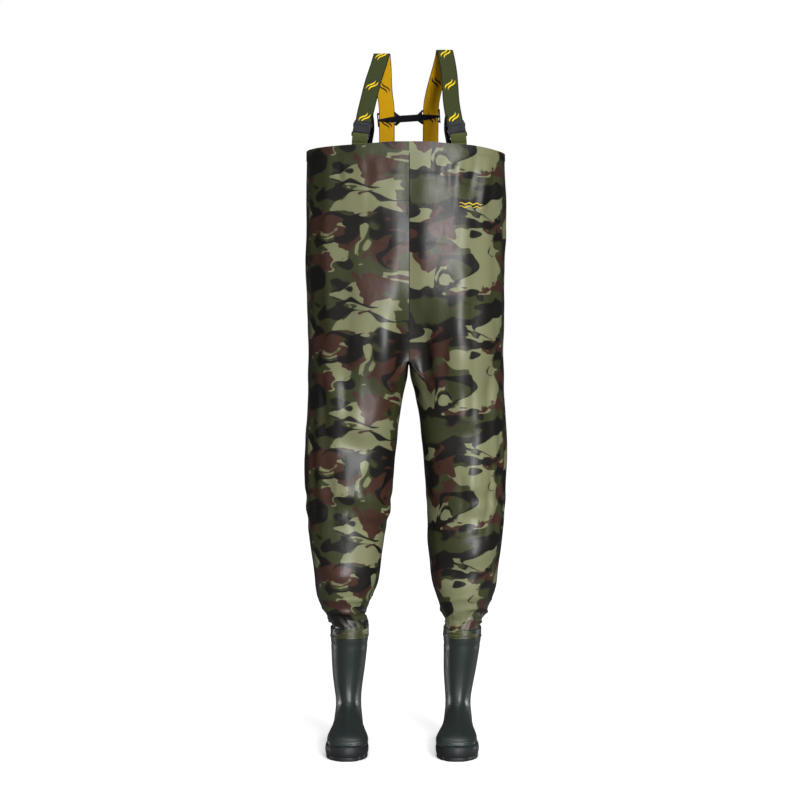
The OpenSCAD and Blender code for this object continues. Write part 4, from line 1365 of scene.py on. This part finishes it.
def plain_material(name, colour, roughness, grain_scale, grain_depth):
    """One colour with a grain of that scale and depth."""
    material, tree, shader = material_of(name, colour, roughness)
    place = add(tree, "TexCoord").outputs["Object"]
    bump(tree, shader, noise(tree, place, grain_scale, 3.0), 0.5, grain_depth)
    return material


# ---- stage, camera and lights ----

def make_stage():
    """White floor and background: the floor glows, which is painted light, and fades to white with distance.
    Near the waders the glow is weaker and ambient occlusion darkens it into painted contact shadows, on top
    of the soft shadows of its lit surface.
    """
    bpy.ops.mesh.primitive_plane_add(size=30, location=(0, 8, 0))
    floor = bpy.context.object
    floor.name = "floor"
    material, tree, shader = material_of("floor_white", (0.9, 0.9, 0.9), 1.0, **{"Specular IOR Level": 0.0})
    place = add(tree, "TexCoord").outputs["Object"]
    distance = add(tree, "VectorMath", {0: place, 1: (0, -8, 0)}, operation="DISTANCE").outputs["Value"]
    # Painted light: the floor's glow, weaker near the waders.
    strength = add(tree, "MapRange", {0: distance, 1: 0.5, 2: 2.6, 3: FLOOR_GLOW, 4: 1.0}, clamp=True)
    # Painted contact shadows: ambient occlusion darkens the glow near the boots.
    painted_contact_shadow = add(tree, "AmbientOcclusion", {"Distance": 0.07}, samples=8).outputs["AO"]
    glow = add(tree, "Emission", {"Color": painted_contact_shadow, "Strength": strength.outputs[0]})
    both = add(tree, "AddShader", {0: shader.outputs[0], 1: glow.outputs[0]})
    seen = add(tree, "LightPath").outputs["Is Camera Ray"]
    dim = add(tree, "BsdfDiffuse", {"Color": (0.30, 0.30, 0.30, 1)})
    choice = add(tree, "MixShader", {0: seen, 1: dim.outputs[0], 2: both.outputs[0]})
    tree.links.new(choice.outputs[0], tree.nodes["Material Output"].inputs["Surface"])
    floor.data.materials.append(material)

    world = bpy.data.worlds.new("white")
    bpy.context.scene.world = world
    world.use_nodes = True
    tree = world.node_tree
    light = tree.nodes["Background"]
    light.inputs["Color"].default_value = (1, 1, 1, 1)
    light.inputs["Strength"].default_value = WORLD_LIGHT
    clear = add(tree, "Background", {"Color": (1, 1, 1, 1), "Strength": 1.0})
    seen = add(tree, "LightPath").outputs["Is Camera Ray"]
    choice = add(tree, "MixShader", {0: seen, 1: light.outputs[0], 2: clear.outputs[0]})
    tree.links.new(choice.outputs[0], tree.nodes["World Output"].inputs["Surface"])


def softbox(name, place, target, size, power, spread):
    """A rectangular light at place, aimed at target. Spread is in degrees."""
    data = bpy.data.lights.new(name, "AREA")
    data.shape = "RECTANGLE"
    data.size, data.size_y = size
    data.energy = power
    data.spread = math.radians(spread)
    lamp = linked(name, data)
    lamp.location = place
    lamp.rotation_euler = (Vector(target) - Vector(place)).to_track_quat("-Z", "Y").to_euler()


def make_view():
    """The camera at the photograph's angle, and the soft lights."""
    camera = linked("camera", bpy.data.cameras.new("camera"))
    camera.location = CAMERA_AT
    camera.rotation_euler = (math.radians(90), 0, 0)
    camera.data.lens = CAMERA_LENS
    camera.data.sensor_width = 36
    bpy.context.scene.camera = camera
    for settings in SOFTBOXES:
        softbox(*settings)
    bpy.context.scene.view_settings.view_transform = "Standard"


# ---- everything together ----

def main():
    camo = camo_material()
    lining = plain_material("pvc_inside", (0.10, 0.11, 0.075), 0.6, 500, 0.0005)
    tape = plain_material("seam_tape", (0.05, 0.055, 0.035), 0.45, 300, 0.0004)
    # Near-black line along the centre seams: painted shade of the seam's groove.
    groove = plain_material("seam_groove", (0.005, 0.005, 0.004), 0.8, 300, 0.0004)
    olive = webbing_material("olive_webbing", (0.076, 0.088, 0.030), None)
    webbing = (
        webbing_material("brace_outside", (0.042, 0.052, 0.016), (0.86, 0.60, 0.02), (0.012, 0.013, 0.008)),
        webbing_material("brace_inside", (0.90, 0.47, 0.007), (0.030, 0.026, 0.014), (0.016, 0.014, 0.010)),
        plain_material("brace_edge", (0.012, 0.012, 0.010), 0.8, 900, 0.0003),
    )
    # Near-black webbing for the loose end: painted shade where it hangs behind the buckle.
    dark = webbing_material("brace_loose_end", (0.010, 0.010, 0.009), None)
    thread = plain_material("thread", (0.09, 0.10, 0.05), 0.7, 900, 0.0002)
    plastic = rubber_material("black_plastic", (0.008, 0.009, 0.012), 0.50, shine=0.25)
    rubber = rubber_material("boot_pvc", (0.017, 0.026, 0.024), 0.40, 0.15)
    sole = rubber_material("sole_pvc", (0.014, 0.016, 0.019), 0.55)
    knit = plain_material("boot_knit", (0.12, 0.13, 0.12), 0.9, 700, 0.0008)
    foam = plain_material("insole_foam", (0.16, 0.17, 0.15), 0.9, 400, 0.0006)
    yellow, *_ = material_of("wave_print", (0.80, 0.55, 0.015), 0.5)

    cloth = make_garment((camo, lining, tape, groove))
    make_chest_mark(cloth, yellow)
    for side, sign in SIDES.items():
        make_boot(side, sign, (rubber, knit, foam, sole))
        make_brace(side, sign, webbing, olive, dark, thread)
    make_fittings(plastic)
    lean_boots()
    make_stage()
    make_view()


main()
